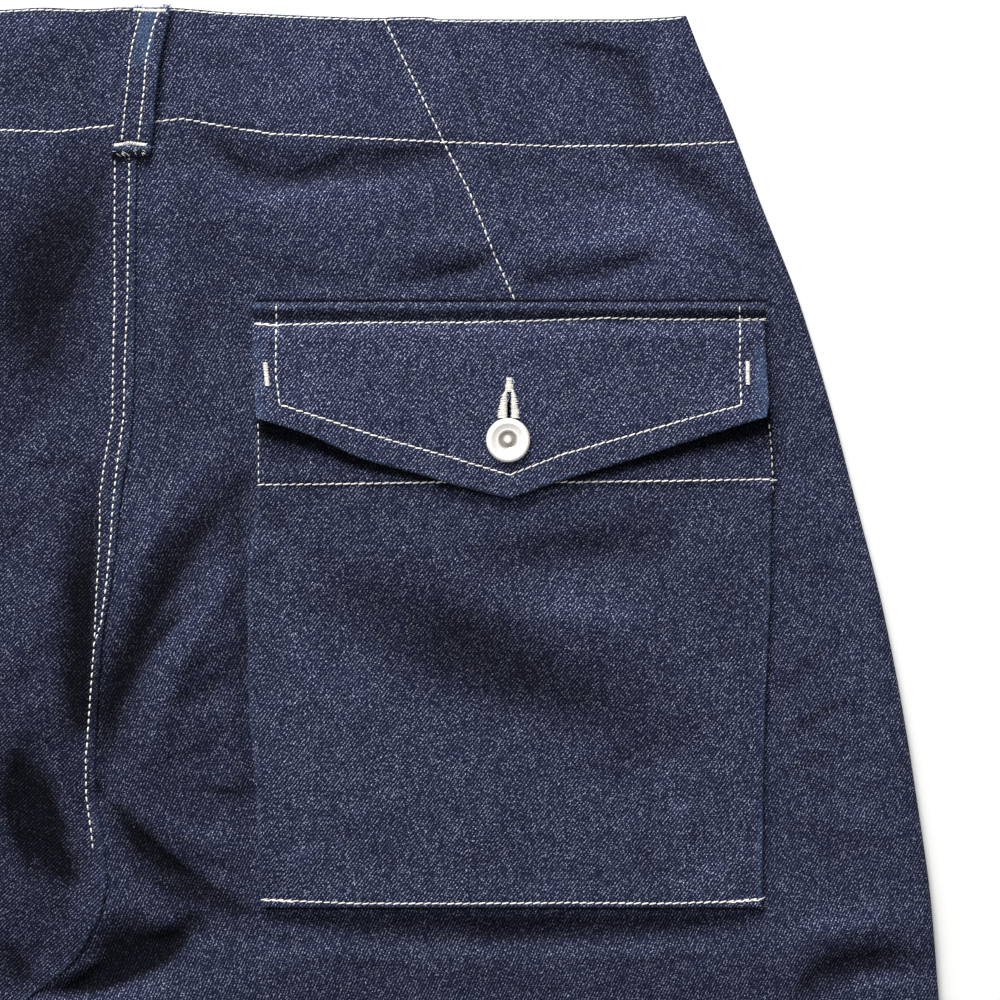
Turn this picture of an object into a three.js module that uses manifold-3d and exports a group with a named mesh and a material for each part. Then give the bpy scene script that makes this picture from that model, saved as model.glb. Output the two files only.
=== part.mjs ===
import * as THREE from "three";
import { mergeVertices } from "three/addons/utils/BufferGeometryUtils.js";
import Module from "manifold-3d";

// Denim trousers laid flat, back side up: the two backs lie on the two fronts.
// Millimetres. X runs across the garment, Y up it towards the waist, Z up from the surface it lies on.
// In the tables, across is measured from the centre back of the waist, and down from the waist edge.

const wasm = await Module();
wasm.setup();

// Whole garment
const LENGTH = 1020;
const FORK = { down: 404, across: -58 };

// Cloth and how its layers lie
const CLOTH = 1.3;
const FACED_CLOTH = 1.8;
const HEMMED_CLOTH = 2.2;
const FACING_DEPTH = 46;
const HEM_DEPTH = 30;
const TURNED_STEP = 3.5;
const GAP = 0.3;
const EDGE_RADIUS = 4;
const EDGE_ANGLES = [0, 30, 60, 90].map(THREE.MathUtils.degToRad);
const SIDE_SEAM_HEIGHT = 2.7;
const BACK_HEIGHT = 6;
const WAIST_LIFT = 2.6;

// Patch pocket, its flap and the button
const POCKET = { top: 128.5, hem: 184, bottom: 347.8 };
const POCKET_WALL = { plain: 1.3, hemmed: 2.4, gusset: 1.3, gussetReach: 10 };
const FLAP = { left: 40.5, right: 238.3, top: 114, corner: 159.2, tip: 190, tipAcross: 139 };
const FLAP_CORNER_LIFT = 4;
const FLAP_COLUMNS = 14;
const BUTTON = { across: 138.2, down: 167.3, shankRadius: 3, sides: 20 };
const BUTTONHOLE = { from: 150.5, width: 1.6, clearance: 0.3 };

// Closure and belt loops
const PLACKET = { left: -45, right: 6, end: 184, taper: 18, wall: 1.3, margin: 12 };
const WAIST_BUTTON = { across: -13, down: 36 };
const LOOP = { width: 15.5, wall: 2, arch: 1.8, rows: 8 };
const BACK_LOOP = { top: 1.5, bottom: 57.5, topAcross: 0.3, bottomAcross: -7.3, roll: 0.8 };
const FRONT_LOOP = { wall: 1.6, length: 52, fromEdge: 2, bow: 0.7 };
const FRONT_LOOP_PLACES = [
  { name: "belt_loop_front_right", across: 72 },
  { name: "belt_loop_side_right", across: 152 },
  { name: "belt_loop_front_left", across: -72 },
  { name: "belt_loop_side_left", across: -152 },
];

// Felled centre back seam: the left back laps over the right one
const FELL = { width: 8.5, step: 0.8, height: 0.8 };

// Outer edges of both legs, and the guides that the right back's columns follow
const SIDES = [
  { down: 0, right: 207, left: -207 },
  { down: 6, right: 209.2, left: -210 },
  { down: 21, right: 214.8, left: -216 },
  { down: 36, right: 221.2, left: -223 },
  { down: 75, right: 235.8, left: -243 },
  { down: 113, right: 250.9, left: -262 },
  { down: 152, right: 262.9, left: -279 },
  { down: 190, right: 272.9, left: -294 },
  { down: 229, right: 282.9, left: -312 },
  { down: 268, right: 290.7, left: -329 },
  { down: 306, right: 296.8, left: -345 },
  { down: 345, right: 302.2, left: -359 },
  { down: 383, right: 305.3, left: -370 },
  { down: 440, right: 310, left: -382 },
  { down: 500, right: 313, left: -390 },
  { down: 600, right: 314, left: -397 },
  { down: 750, right: 312, left: -401 },
  { down: 900, right: 306, left: -402 },
  { down: 1020, right: 300, left: -402 },
];

// Centre back seam down to the fork
const SEAT_SEAM = [
  { down: 0, across: -5.4 },
  { down: 59, across: -6.2 },
  { down: 113, across: -6.9 },
  { down: 158, across: -8.1 },
  { down: 190, across: -12.6 },
  { down: 222, across: -16.2 },
  { down: 244, across: -19.8 },
  { down: 268, across: -21.6 },
  { down: 294, across: -22.5 },
  { down: 312, across: -20.7 },
  { down: 337, across: -17.6 },
  { down: 346, across: -18.9 },
  { down: 355, across: -22.5 },
  { down: 366, across: -28.6 },
  { down: 375, across: -37.5 },
  { down: 384, across: -49 },
  { down: FORK.down, across: FORK.across },
];

// Centre front seam, under the backs
const FRONT_SEAM = [
  { down: 0, across: 0 },
  { down: 184, across: 0 },
  { down: 240, across: -7 },
  { down: 300, across: -24 },
  { down: 350, across: -42 },
  { down: FORK.down, across: FORK.across },
];

// Inner edges of the legs below the fork
const INSEAMS = [
  { down: FORK.down, right: FORK.across, left: FORK.across },
  { down: 420, right: -55, left: -61 },
  { down: 440, right: -50, left: -65 },
  { down: 500, right: -34, left: -76 },
  { down: 600, right: -8, left: -96 },
  { down: 750, right: 24, left: -124 },
  { down: 900, right: 42, left: -144 },
  { down: LENGTH, right: 50, left: -152 },
];

// Side edges of the pocket, carried up to the waist and down the leg as guides
const POCKET_SIDES = [
  { down: 0, left: 40, right: 180 },
  { down: 50, left: 40, right: 205 },
  { down: 90, left: 40.5, right: 224 },
  { down: 113, left: 41, right: 235 },
  { down: 128.5, left: 41, right: 237.3 },
  { down: 184, left: 41.2, right: 240.4 },
  { down: 205, left: 39.2, right: 239.9 },
  { down: 229, left: 37.6, right: 239.5 },
  { down: 271, left: 38.2, right: 237.7 },
  { down: 294, left: 40.5, right: 237.1 },
  { down: 347.8, left: 42.7, right: 236.5 },
  { down: FORK.down, left: 40, right: 240 },
  { down: 500, left: 60, right: 245 },
  { down: 750, left: 90, right: 250 },
  { down: LENGTH, left: 112, right: 245 },
];

// Waist edge of the backs and of the fronts, as a drop from the highest point
const WAIST_EDGES = [
  { across: -207, back: 3, front: 3 },
  { across: -120, back: 2, front: 12 },
  { across: -50, back: 0.6, front: 17 },
  { across: -30, back: 0, front: 18 },
  { across: 0, back: 1.6, front: 18 },
  { across: 60, back: 3.5, front: 17 },
  { across: 130, back: 4.4, front: 12 },
  { across: 207, back: 4, front: 4 },
];
const WAIST_EDGE_FADE = 60;

// Folds pressed into the backs: ridges rise and troughs fall off the height of the lay.
// Each runs from one end to the other, bowed sideways at its middle, with a soft half width.
const FOLDS = [
  // Seat, beside the centre seam
  { fromAcross: 34.7, fromDown: 186, toAcross: -19.3, toDown: 302, bow: 12, half: 9, rise: -2.2 },
  { fromAcross: 40, fromDown: 215, toAcross: 2, toDown: 280, bow: 6, half: 12, rise: 1.8 },
  { fromAcross: 8, fromDown: 74, toAcross: 8, toDown: 160, bow: 0, half: 9, rise: 1.2 },
  { fromAcross: -22, fromDown: 285, toAcross: -19, toDown: 346, bow: -3, half: 8, rise: 2.6 },
  { fromAcross: -19, fromDown: 350, toAcross: -56, toDown: 398, bow: -5, half: 9, rise: 3.2 },
  { fromAcross: -19.3, fromDown: 304, toAcross: 36.7, toDown: 350, bow: 8, half: 7, rise: -2.2 },
  { fromAcross: -36, fromDown: 381, toAcross: 12, toDown: 358, bow: -7, half: 9, rise: -3 },
  { fromAcross: -40, fromDown: 402, toAcross: 60, toDown: 372, bow: -4, half: 14, rise: 3.4 },
  { fromAcross: 7.7, fromDown: 271, toAcross: 36.7, toDown: 248, bow: 0, half: 6, rise: -1 },
  { fromAcross: -40, fromDown: 70, toAcross: -48, toDown: 150, bow: 0, half: 20, rise: -1.1 },
  { fromAcross: -27, fromDown: 198, toAcross: -30, toDown: 283, bow: 0, half: 8, rise: -1.8 },
  { fromAcross: -52, fromDown: 205, toAcross: -56, toDown: 285, bow: 0, half: 15, rise: 1.4 },
  { fromAcross: -51, fromDown: 292, toAcross: -31, toDown: 336, bow: 3, half: 8, rise: -2 },
  // Waist and yoke
  { fromAcross: 21, fromDown: 52, toAcross: 112, toDown: 56, bow: 9, half: 6, rise: -1.8 },
  { fromAcross: 30, fromDown: 84, toAcross: 120, toDown: 78, bow: 0, half: 16, rise: 0.9 },
  { fromAcross: 189, fromDown: 56, toAcross: 235, toDown: 94, bow: -4, half: 8, rise: -1.6 },
  { fromAcross: 92.6, fromDown: 106, toAcross: 131, toDown: 98, bow: 0, half: 6, rise: -1.3 },
  { fromAcross: 142.8, fromDown: 106, toAcross: 191, toDown: 98, bow: 0, half: 6, rise: -1.3 },
  { fromAcross: 158, fromDown: 15, toAcross: 193, toDown: 45, bow: -6, half: 8, rise: -0.9 },
  { fromAcross: 112, fromDown: 12, toAcross: 143, toDown: 108, bow: 0, half: 9, rise: 0.7 },
  // Under and around the pocket
  { fromAcross: 73, fromDown: 225, toAcross: 189, toDown: 267, bow: 0, half: 16, rise: -2.4 },
  { fromAcross: 127, fromDown: 213, toAcross: 197, toDown: 204, bow: 0, half: 9, rise: -1.2 },
  { fromAcross: 135, fromDown: 231, toAcross: 196, toDown: 240, bow: 0, half: 13, rise: 1.6 },
  { fromAcross: 55, fromDown: 290, toAcross: 215, toDown: 312, bow: 0, half: 24, rise: 1 },
  { fromAcross: 46, fromDown: 354, toAcross: 226, toDown: 356, bow: 3, half: 6, rise: -1.5 },
  { fromAcross: 50, fromDown: 372, toAcross: 230, toDown: 368, bow: 4, half: 11, rise: 1.4 },
  { fromAcross: 250, fromDown: 384, toAcross: 296, toDown: 369, bow: -6, half: 8, rise: -2.2 },
  { fromAcross: 245, fromDown: 366, toAcross: 300, toDown: 352, bow: -5, half: 9, rise: 1.5 },
  // Left seat
  { fromAcross: -90, fromDown: 110, toAcross: -225, toDown: 92, bow: 6, half: 12, rise: -1.2 },
  { fromAcross: -95, fromDown: 190, toAcross: -240, toDown: 170, bow: 8, half: 16, rise: -1.8 },
  { fromAcross: -85, fromDown: 225, toAcross: -230, toDown: 215, bow: 6, half: 18, rise: 1.6 },
  { fromAcross: -70, fromDown: 300, toAcross: -250, toDown: 250, bow: -10, half: 16, rise: -2.2 },
  { fromAcross: -60, fromDown: 350, toAcross: -200, toDown: 300, bow: -8, half: 18, rise: 2.2 },
  { fromAcross: -250, fromDown: 330, toAcross: -350, toDown: 345, bow: 6, half: 14, rise: -1.8 },
  // Right leg
  { fromAcross: -30, fromDown: 425, toAcross: 130, toDown: 520, bow: 10, half: 20, rise: -2.2 },
  { fromAcross: 10, fromDown: 415, toAcross: 170, toDown: 470, bow: 8, half: 20, rise: 2.4 },
  { fromAcross: 280, fromDown: 500, toAcross: 180, toDown: 590, bow: -10, half: 22, rise: -2 },
  { fromAcross: 20, fromDown: 620, toAcross: 210, toDown: 660, bow: 12, half: 24, rise: 2.2 },
  { fromAcross: 60, fromDown: 690, toAcross: 280, toDown: 660, bow: -14, half: 22, rise: -2 },
  { fromAcross: 100, fromDown: 800, toAcross: 260, toDown: 850, bow: 10, half: 26, rise: 1.8 },
  { fromAcross: 120, fromDown: 900, toAcross: 270, toDown: 880, bow: -10, half: 24, rise: -1.8 },
  // Left leg
  { fromAcross: -85, fromDown: 430, toAcross: -230, toDown: 530, bow: -12, half: 20, rise: -2.3 },
  { fromAcross: -100, fromDown: 410, toAcross: -260, toDown: 470, bow: -8, half: 20, rise: 2.3 },
  { fromAcross: -370, fromDown: 480, toAcross: -270, toDown: 600, bow: 12, half: 22, rise: -2 },
  { fromAcross: -130, fromDown: 600, toAcross: -320, toDown: 640, bow: -10, half: 26, rise: 2 },
  { fromAcross: -150, fromDown: 670, toAcross: -370, toDown: 700, bow: 14, half: 22, rise: -2.2 },
  { fromAcross: -180, fromDown: 780, toAcross: -340, toDown: 820, bow: -10, half: 24, rise: 1.7 },
  { fromAcross: -200, fromDown: 880, toAcross: -380, toDown: 910, bow: 10, half: 24, rise: -1.7 },
];
const FOLD_END_SHARE = 0.35;
const PRESSED = { left: 40, right: 240, top: 114, bottom: 172, margin: 14, share: 0.9 };

// Section of the flap down from its top edge: gap to the back under it, and thickness
const FLAP_SECTION = [
  { below: 0, under: 0.9, wall: 2 },
  { below: 2, under: 0.7, wall: 3 },
  { below: 8.5, under: 0.6, wall: 1.7 },
  { below: 13.4, under: 3.4, wall: 2.2 },
  { below: 80, under: 3.4, wall: 2.2 },
];
const FLAP_TOP_ROWS = [0, 2, 8.5, 13.4];
const FLAP_LOWER_ROWS = 4;
const CUTTER_HEIGHT = 12;

// Head of a tack button from the cloth outwards: rolled rim, dish and rivet
const BUTTON_HEAD = [
  { radius: 7.2, rise: 0 },
  { radius: 8.3, rise: 0.45 },
  { radius: 8.5, rise: 1 },
  { radius: 8.1, rise: 1.6 },
  { radius: 7.3, rise: 1.95 },
  { radius: 6.3, rise: 1.85 },
  { radius: 5.2, rise: 1.35 },
  { radius: 3.6, rise: 1.2 },
  { radius: 3.4, rise: 0.7 },
  { radius: 1.6, rise: 0.7 },
  { radius: 1.3, rise: 1.3 },
  { radius: 0.7, rise: 1.55 },
  { radius: 0, rise: 1.6 },
];

// Columns of the panels: steps out from the centre seams, then shares of the way between the guides
const RIGHT_SEAM_STEPS = [0, 2, 5, 10];
const RIGHT_SEAM_RELIEF = [-0.4, -0.2, 0, 0];
const LEFT_SEAM_STEPS = [0, FELL.width / 2, FELL.width, FELL.width + FELL.step];
const LEFT_SEAM_RELIEF = [FELL.height, FELL.height, FELL.height, 0];
const FRONT_SEAM_STEPS = [0, 8, 16, 24];
const RIGHT_GUIDE_COLUMNS = [0.25, 0.5, 0.75, 1];
const POCKET_COLUMNS = [0.04, 0.11, 0.2, 0.3, 0.4, 0.5, 0.6, 0.7, 0.8, 0.89, 0.96, 1];
const RIGHT_SIDE_COLUMNS = [1 / 3, 2 / 3, 1];
const LEFT_COLUMNS = 12;
const LEFT_CROWDING = 1.4;
const FRONT_COLUMNS = 7;
const FRONT_ROW_STEP = 2;

// Rows of the panels, down from the waist: each span ends at a level and is cut into equal rows
const ROW_SPANS = [
  { to: FACING_DEPTH, rows: 4 },
  { to: FACING_DEPTH + TURNED_STEP, rows: 1 },
  { to: POCKET.top, rows: 7 },
  { to: POCKET.bottom, rows: 16 },
  { to: POCKET.bottom + TURNED_STEP, rows: 1 },
  { to: FORK.down, rows: 5 },
  { to: 500, rows: 5 },
  { to: LENGTH - HEM_DEPTH, rows: 14 },
  { to: LENGTH - HEM_DEPTH + TURNED_STEP, rows: 1 },
  { to: LENGTH, rows: 1 },
];
const LIFT_FULL_ROW = 8;
const LIFT_END_ROW = 12;

const { clamp, lerp, smoothstep } = THREE.MathUtils;

// A smooth curve through one column of a table, with no overshoot between its rows
function curveThrough(table, key, column) {
  const at = table.map((row) => row[key]);
  const value = table.map((row) => row[column]);
  const last = at.length - 1;
  const chord = at.slice(1).map((a, i) => (value[i + 1] - value[i]) / (a - at[i]));
  const slope = at.map((_, i) => {
    const before = chord[Math.max(i - 1, 0)];
    const after = chord[Math.min(i, last - 1)];
    return before * after > 0 ? (2 * before * after) / (before + after) : 0;
  });
  return (here) => {
    const i = clamp(at.findLastIndex((a) => a <= here), 0, last - 1);
    const span = at[i + 1] - at[i];
    const t = clamp((here - at[i]) / span, 0, 1);
    const rest = 1 - t;
    const ends = value[i] * (1 + 2 * t) * rest * rest + value[i + 1] * (3 - 2 * t) * t * t;
    return ends + span * t * rest * (slope[i] * rest - slope[i + 1] * t);
  };
}

const sideRight = curveThrough(SIDES, "down", "right");
const sideLeft = curveThrough(SIDES, "down", "left");
const seatSeam = curveThrough(SEAT_SEAM, "down", "across");
const frontSeam = curveThrough(FRONT_SEAM, "down", "across");
const inseamRight = curveThrough(INSEAMS, "down", "right");
const inseamLeft = curveThrough(INSEAMS, "down", "left");
const pocketLeft = curveThrough(POCKET_SIDES, "down", "left");
const pocketRight = curveThrough(POCKET_SIDES, "down", "right");
const backWaistEdge = curveThrough(WAIST_EDGES, "across", "back");
const frontWaistEdge = curveThrough(WAIST_EDGES, "across", "front");
const flapUnder = curveThrough(FLAP_SECTION, "below", "under");
const flapWall = curveThrough(FLAP_SECTION, "below", "wall");

const rows = [0];
for (const span of ROW_SPANS) {
  const from = rows.at(-1);
  for (let i = 1; i <= span.rows; i++) rows.push(lerp(from, span.to, i / span.rows));
}
const frontRows = rows.filter((_, i) => i % FRONT_ROW_STEP === 0 || i === rows.length - 1);

// Height of the underside: the waist lies on its loops and button, the rest on the surface itself
function lift(down) {
  const share = (down - rows[LIFT_FULL_ROW]) / (rows[LIFT_END_ROW] - rows[LIFT_FULL_ROW]);
  return WAIST_LIFT * (1 - clamp(share, 0, 1));
}

function wallAt(down) {
  if (down <= FACING_DEPTH) return FACED_CLOTH;
  return down >= LENGTH - HEM_DEPTH + TURNED_STEP ? HEMMED_CLOTH : CLOTH;
}

// A fold's rise at a point: soft across its half width, and sinking towards both ends
function foldRise(fold, across, down) {
  const runAcross = fold.toAcross - fold.fromAcross;
  const runDown = fold.toDown - fold.fromDown;
  const run = Math.hypot(runAcross, runDown);
  const x = across - fold.fromAcross;
  const y = down - fold.fromDown;
  const along = (x * runAcross + y * runDown) / run;
  const t = clamp(along / run, 0, 1);
  const beyond = along - t * run;
  const aside = (runAcross * y - runDown * x) / run - fold.bow * 4 * t * (1 - t);
  const fade = lerp(FOLD_END_SHARE, 1, Math.sin(Math.PI * t));
  return fold.rise * fade * Math.exp(-(aside * aside + beyond * beyond) / (fold.half * fold.half));
}

// How far the flap's place is pressed flat, from 0 outside it to a named share inside
function pressedShare(across, down) {
  const inside = Math.min(
    smoothstep(across, PRESSED.left - PRESSED.margin, PRESSED.left),
    1 - smoothstep(across, PRESSED.right, PRESSED.right + PRESSED.margin),
    smoothstep(down, PRESSED.top - PRESSED.margin, PRESSED.top),
    1 - smoothstep(down, PRESSED.bottom, PRESSED.bottom + PRESSED.margin),
  );
  return PRESSED.share * inside;
}

// Height of the backs' outer face, kept clear of the fronts and of the fly placket under them
function backHeight(across, down) {
  const folds = FOLDS.reduce((sum, fold) => sum + foldRise(fold, across, down), 0);
  const free = lift(down) + BACK_HEIGHT + folds * (1 - pressedShare(across, down));
  const overPlacket =
    across > PLACKET.left - PLACKET.margin &&
    across < PLACKET.right + PLACKET.margin &&
    down < PLACKET.end + PLACKET.margin;
  const under = lift(down) + wallAt(down) + GAP + (overPlacket ? PLACKET.wall + GAP : 0);
  return Math.max(free, under + wallAt(down));
}

// Two grids of points, one over the other, closed along their four sides into one solid
function slab(upper, lower) {
  const rowCount = upper.length;
  const columnCount = upper[0].length;
  const points = [...upper.flat(), ...lower.flat()];
  const under = rowCount * columnCount;
  const at = (r, c) => r * columnCount + c;
  const index = [];
  for (let r = 0; r < rowCount - 1; r++) {
    for (let c = 0; c < columnCount - 1; c++) {
      const [p, q, s, t] = [at(r, c), at(r, c + 1), at(r + 1, c), at(r + 1, c + 1)];
      index.push(p, s, q, q, s, t);
      index.push(under + p, under + q, under + s, under + q, under + t, under + s);
    }
  }
  const rim = [];
  for (let c = 0; c < columnCount - 1; c++) rim.push(at(0, c));
  for (let r = 0; r < rowCount - 1; r++) rim.push(at(r, columnCount - 1));
  for (let c = columnCount - 1; c > 0; c--) rim.push(at(rowCount - 1, c));
  for (let r = rowCount - 1; r > 0; r--) rim.push(at(r, 0));
  rim.forEach((p, i) => {
    const q = rim[(i + 1) % rim.length];
    index.push(p, q, under + p, q, under + q, under + p);
  });
  return facingOut(points, index);
}

function facingOut(points, index) {
  let volume = 0;
  for (let i = 0; i < index.length; i += 3) {
    const [a, b, c] = [points[index[i]], points[index[i + 1]], points[index[i + 2]]];
    volume += a.dot(b.clone().cross(c));
  }
  if (volume < 0) {
    for (let i = 0; i < index.length; i += 3) {
      [index[i + 1], index[i + 2]] = [index[i + 2], index[i + 1]];
    }
  }
  const geometry = new THREE.BufferGeometry().setFromPoints(points);
  geometry.setIndex(index);
  return geometry;
}

// Columns of a panel in one row, from its inner edge to the side seam.
// Each gives its place, how far it rises from the seam's height to the face, and which way the wall
// thickens where the cloth turns round an edge. Above the fork the inner edge is cut square.
function panelColumns(inner, outer, side, open, squareSteps, between) {
  const turn = EDGE_ANGLES.map((a) => EDGE_RADIUS * (1 - Math.cos(a)));
  const columns = EDGE_ANGLES.map((a, i) => ({
    across: inner + side * lerp(squareSteps[i], turn[i], open),
    rise: lerp(1, Math.sin(a), open),
    thicken: side * open * Math.cos(a),
  }));
  const first = columns.at(-1).across;
  const last = outer - side * EDGE_RADIUS;
  for (const across of between(first, last)) columns.push({ across, rise: 1, thicken: 0 });
  EDGE_ANGLES.slice(0, -1).reverse().forEach((a) => {
    columns.push({
      across: outer - side * EDGE_RADIUS * (1 - Math.cos(a)),
      rise: Math.sin(a),
      thicken: -side * Math.cos(a),
    });
  });
  return columns;
}

// How open the inner edge is: 0 along the centre seam, 1 along the inseam
function openness(down) {
  if (down < FORK.down) return 0;
  return down > FORK.down ? 1 : 0.5;
}

// Half of the seam's gap, measured across, so that the gap stays even where the seam slants
function halfGap(seam, down) {
  const slope = (seam(Math.min(down + 1, FORK.down)) - seam(Math.max(down - 1, 0))) / 2;
  return (GAP / 2) * Math.hypot(1, slope);
}

function innerEdge(seam, inseam, side, down) {
  if (down > FORK.down) return inseam(down);
  return seam(down) + side * halfGap(seam, down);
}

function rowY(waistEdge, across, down) {
  const fade = Math.max(0, 1 - down / WAIST_EDGE_FADE);
  return LENGTH / 2 - down - waistEdge(across) * fade;
}

// One back: outer points on top, inner points a wall's thickness below, both meeting the side seam
function backGrids(side, squareSteps, squareRelief, between) {
  const [outerEdge, inseam] = side > 0 ? [sideRight, inseamRight] : [sideLeft, inseamLeft];
  const outer = [];
  const inner = [];
  for (const down of rows) {
    const open = openness(down);
    const seamHeight = lift(down) + SIDE_SEAM_HEIGHT;
    const wall = wallAt(down);
    const columns = panelColumns(
      innerEdge(seatSeam, inseam, side, down),
      outerEdge(down),
      side,
      open,
      squareSteps,
      (first, last) => between(first, last, down),
    );
    const outerRow = [];
    const innerRow = [];
    columns.forEach(({ across, rise, thicken }, i) => {
      const face = backHeight(across, down);
      const relief = i < squareRelief.length ? squareRelief[i] * (1 - open) : 0;
      const atSeam = rise === 0 ? GAP / 2 : 0;
      const y = rowY(backWaistEdge, across, down);
      const outerZ = seamHeight + (face - seamHeight) * rise + relief + atSeam;
      const innerZ = seamHeight + (face - wall - seamHeight) * rise + atSeam;
      outerRow.push(new THREE.Vector3(across, y, outerZ));
      innerRow.push(new THREE.Vector3(across + thicken * wall, y, innerZ));
    });
    outer.push(outerRow);
    inner.push(innerRow);
  }
  return { outer, inner };
}

// One front: outer points below, flat on the surface, inner points a wall's thickness above
function frontGrids(side) {
  const [outerEdge, inseam] = side > 0 ? [sideRight, inseamRight] : [sideLeft, inseamLeft];
  const outer = [];
  const inner = [];
  const even = (first, last) =>
    Array.from({ length: FRONT_COLUMNS }, (_, i) => lerp(first, last, (i + 1) / FRONT_COLUMNS));
  for (const down of frontRows) {
    const seamHeight = lift(down) + SIDE_SEAM_HEIGHT;
    const wall = wallAt(down);
    const columns = panelColumns(
      innerEdge(frontSeam, inseam, side, down),
      outerEdge(down),
      side,
      openness(down),
      FRONT_SEAM_STEPS,
      even,
    );
    const place = ({ across, rise, thicken }, face) => {
      const y = rowY(frontWaistEdge, across, down);
      const z = seamHeight - (seamHeight - face) * rise - (rise === 0 ? GAP / 2 : 0);
      return new THREE.Vector3(across + thicken, y, z);
    };
    outer.push(columns.map((c) => place({ ...c, thicken: 0 }, lift(down))));
    inner.push(columns.map((c) => place({ ...c, thicken: c.thicken * wall }, lift(down) + wall)));
  }
  return { outer, inner };
}

const between = (from, to, shares) => shares.map((share) => lerp(from, to, share));

const rightColumns = (first, last, down) => [
  ...between(first, pocketLeft(down), RIGHT_GUIDE_COLUMNS),
  ...between(pocketLeft(down), pocketRight(down), POCKET_COLUMNS),
  ...between(pocketRight(down), last, RIGHT_SIDE_COLUMNS),
];

const leftColumns = (first, last) =>
  Array.from({ length: LEFT_COLUMNS }, (_, i) =>
    lerp(first, last, ((i + 1) / LEFT_COLUMNS) ** LEFT_CROWDING),
  );

const backRight = backGrids(1, RIGHT_SEAM_STEPS, RIGHT_SEAM_RELIEF, rightColumns);
const backLeft = backGrids(-1, LEFT_SEAM_STEPS, LEFT_SEAM_RELIEF, leftColumns);
const frontRight = frontGrids(1);
const frontLeft = frontGrids(-1);

// Patch pocket: its underside is the back's own points, moved out, and its folded sides are thicker
function pocketGeometry() {
  const firstColumn = EDGE_ANGLES.length - 1 + RIGHT_GUIDE_COLUMNS.length;
  const lastColumn = firstColumn + POCKET_COLUMNS.length;
  const firstRow = rows.findIndex((down) => down >= POCKET.top - 1e-6);
  const lastRow = rows.findIndex((down) => down >= POCKET.bottom - 1e-6);
  const under = [];
  const top = [];
  for (let r = firstRow; r <= lastRow; r++) {
    const line = backRight.outer[r].slice(firstColumn, lastColumn + 1);
    const plain = rows[r] < POCKET.hem ? POCKET_WALL.hemmed : POCKET_WALL.plain;
    under.push(line.map((p) => p.clone().setZ(p.z + GAP)));
    top.push(
      line.map((p) => {
        const fromEdge = Math.min(p.x - line[0].x, line.at(-1).x - p.x, POCKET.bottom - rows[r]);
        const gusset = POCKET_WALL.gusset * Math.exp(-((fromEdge / POCKET_WALL.gussetReach) ** 2));
        const wall = Math.max(plain, POCKET_WALL.plain + gusset);
        return p.clone().setZ(p.z + GAP + wall);
      }),
    );
  }
  return slab(top, under);
}

// Pointed flap, sewn down along its top, lying over the pocket with its corners standing off
function flapGrids() {
  const columns = Array.from({ length: FLAP_COLUMNS + 1 }, (_, i) => i / FLAP_COLUMNS);
  const under = [];
  const top = [];
  const rowAt = (placeDown) => {
    const underRow = [];
    const topRow = [];
    for (const share of columns) {
      const across = lerp(FLAP.left, FLAP.right, share);
      const half = across < FLAP.tipAcross ? FLAP.tipAcross - FLAP.left : FLAP.right - FLAP.tipAcross;
      const outward = Math.abs(across - FLAP.tipAcross) / half;
      const down = placeDown(lerp(FLAP.tip, FLAP.corner, outward));
      const below = down - FLAP.top;
      const reach = below / (FLAP.corner - FLAP.top);
      const corner = FLAP_CORNER_LIFT * outward ** 4 * Math.min(reach, 1) ** 3;
      const z = backHeight(across, down) + flapUnder(below) + corner;
      underRow.push(new THREE.Vector3(across, LENGTH / 2 - down, z));
      topRow.push(new THREE.Vector3(across, LENGTH / 2 - down, z + flapWall(below)));
    }
    under.push(underRow);
    top.push(topRow);
  };
  for (const below of FLAP_TOP_ROWS) rowAt(() => FLAP.top + below);
  const start = FLAP.top + FLAP_TOP_ROWS.at(-1);
  for (let i = 1; i <= FLAP_LOWER_ROWS; i++) rowAt((edge) => lerp(start, edge, i / FLAP_LOWER_ROWS));
  return { top, under };
}

function solidOf(geometry) {
  const bare = geometry.clone();
  bare.deleteAttribute("normal");
  bare.deleteAttribute("uv");
  const merged = mergeVertices(bare, 1e-4);
  return new wasm.Manifold(
    new wasm.Mesh({
      numProp: 3,
      vertProperties: merged.attributes.position.array,
      triVerts: new Uint32Array(merged.index.array),
    }),
  );
}

function geometryOf(solid) {
  const mesh = solid.getMesh();
  const geometry = new THREE.BufferGeometry();
  geometry.setAttribute("position", new THREE.BufferAttribute(new Float32Array(mesh.vertProperties), 3));
  geometry.setIndex(new THREE.BufferAttribute(new Uint32Array(mesh.triVerts), 1));
  return geometry;
}

function roundCutter(radius, across, down, z) {
  return new THREE.CylinderGeometry(radius, radius, CUTTER_HEIGHT, BUTTON.sides)
    .rotateX(Math.PI / 2)
    .translate(across, LENGTH / 2 - down, z);
}

// Flap with its buttonhole: a slit towards the top edge, round where the shank goes through
function flapGeometry() {
  const { top, under } = flapGrids();
  const height = backHeight(BUTTON.across, BUTTON.down);
  const length = BUTTON.down - BUTTONHOLE.from;
  const slit = new THREE.BoxGeometry(BUTTONHOLE.width, length, CUTTER_HEIGHT).translate(
    BUTTON.across,
    LENGTH / 2 - BUTTON.down + length / 2,
    height + FLAP_CORNER_LIFT,
  );
  const eye = roundCutter(
    BUTTON.shankRadius + BUTTONHOLE.clearance,
    BUTTON.across,
    BUTTON.down,
    height + FLAP_CORNER_LIFT,
  );
  return geometryOf(solidOf(slab(top, under)).subtract(solidOf(slit)).subtract(solidOf(eye)));
}

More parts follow.
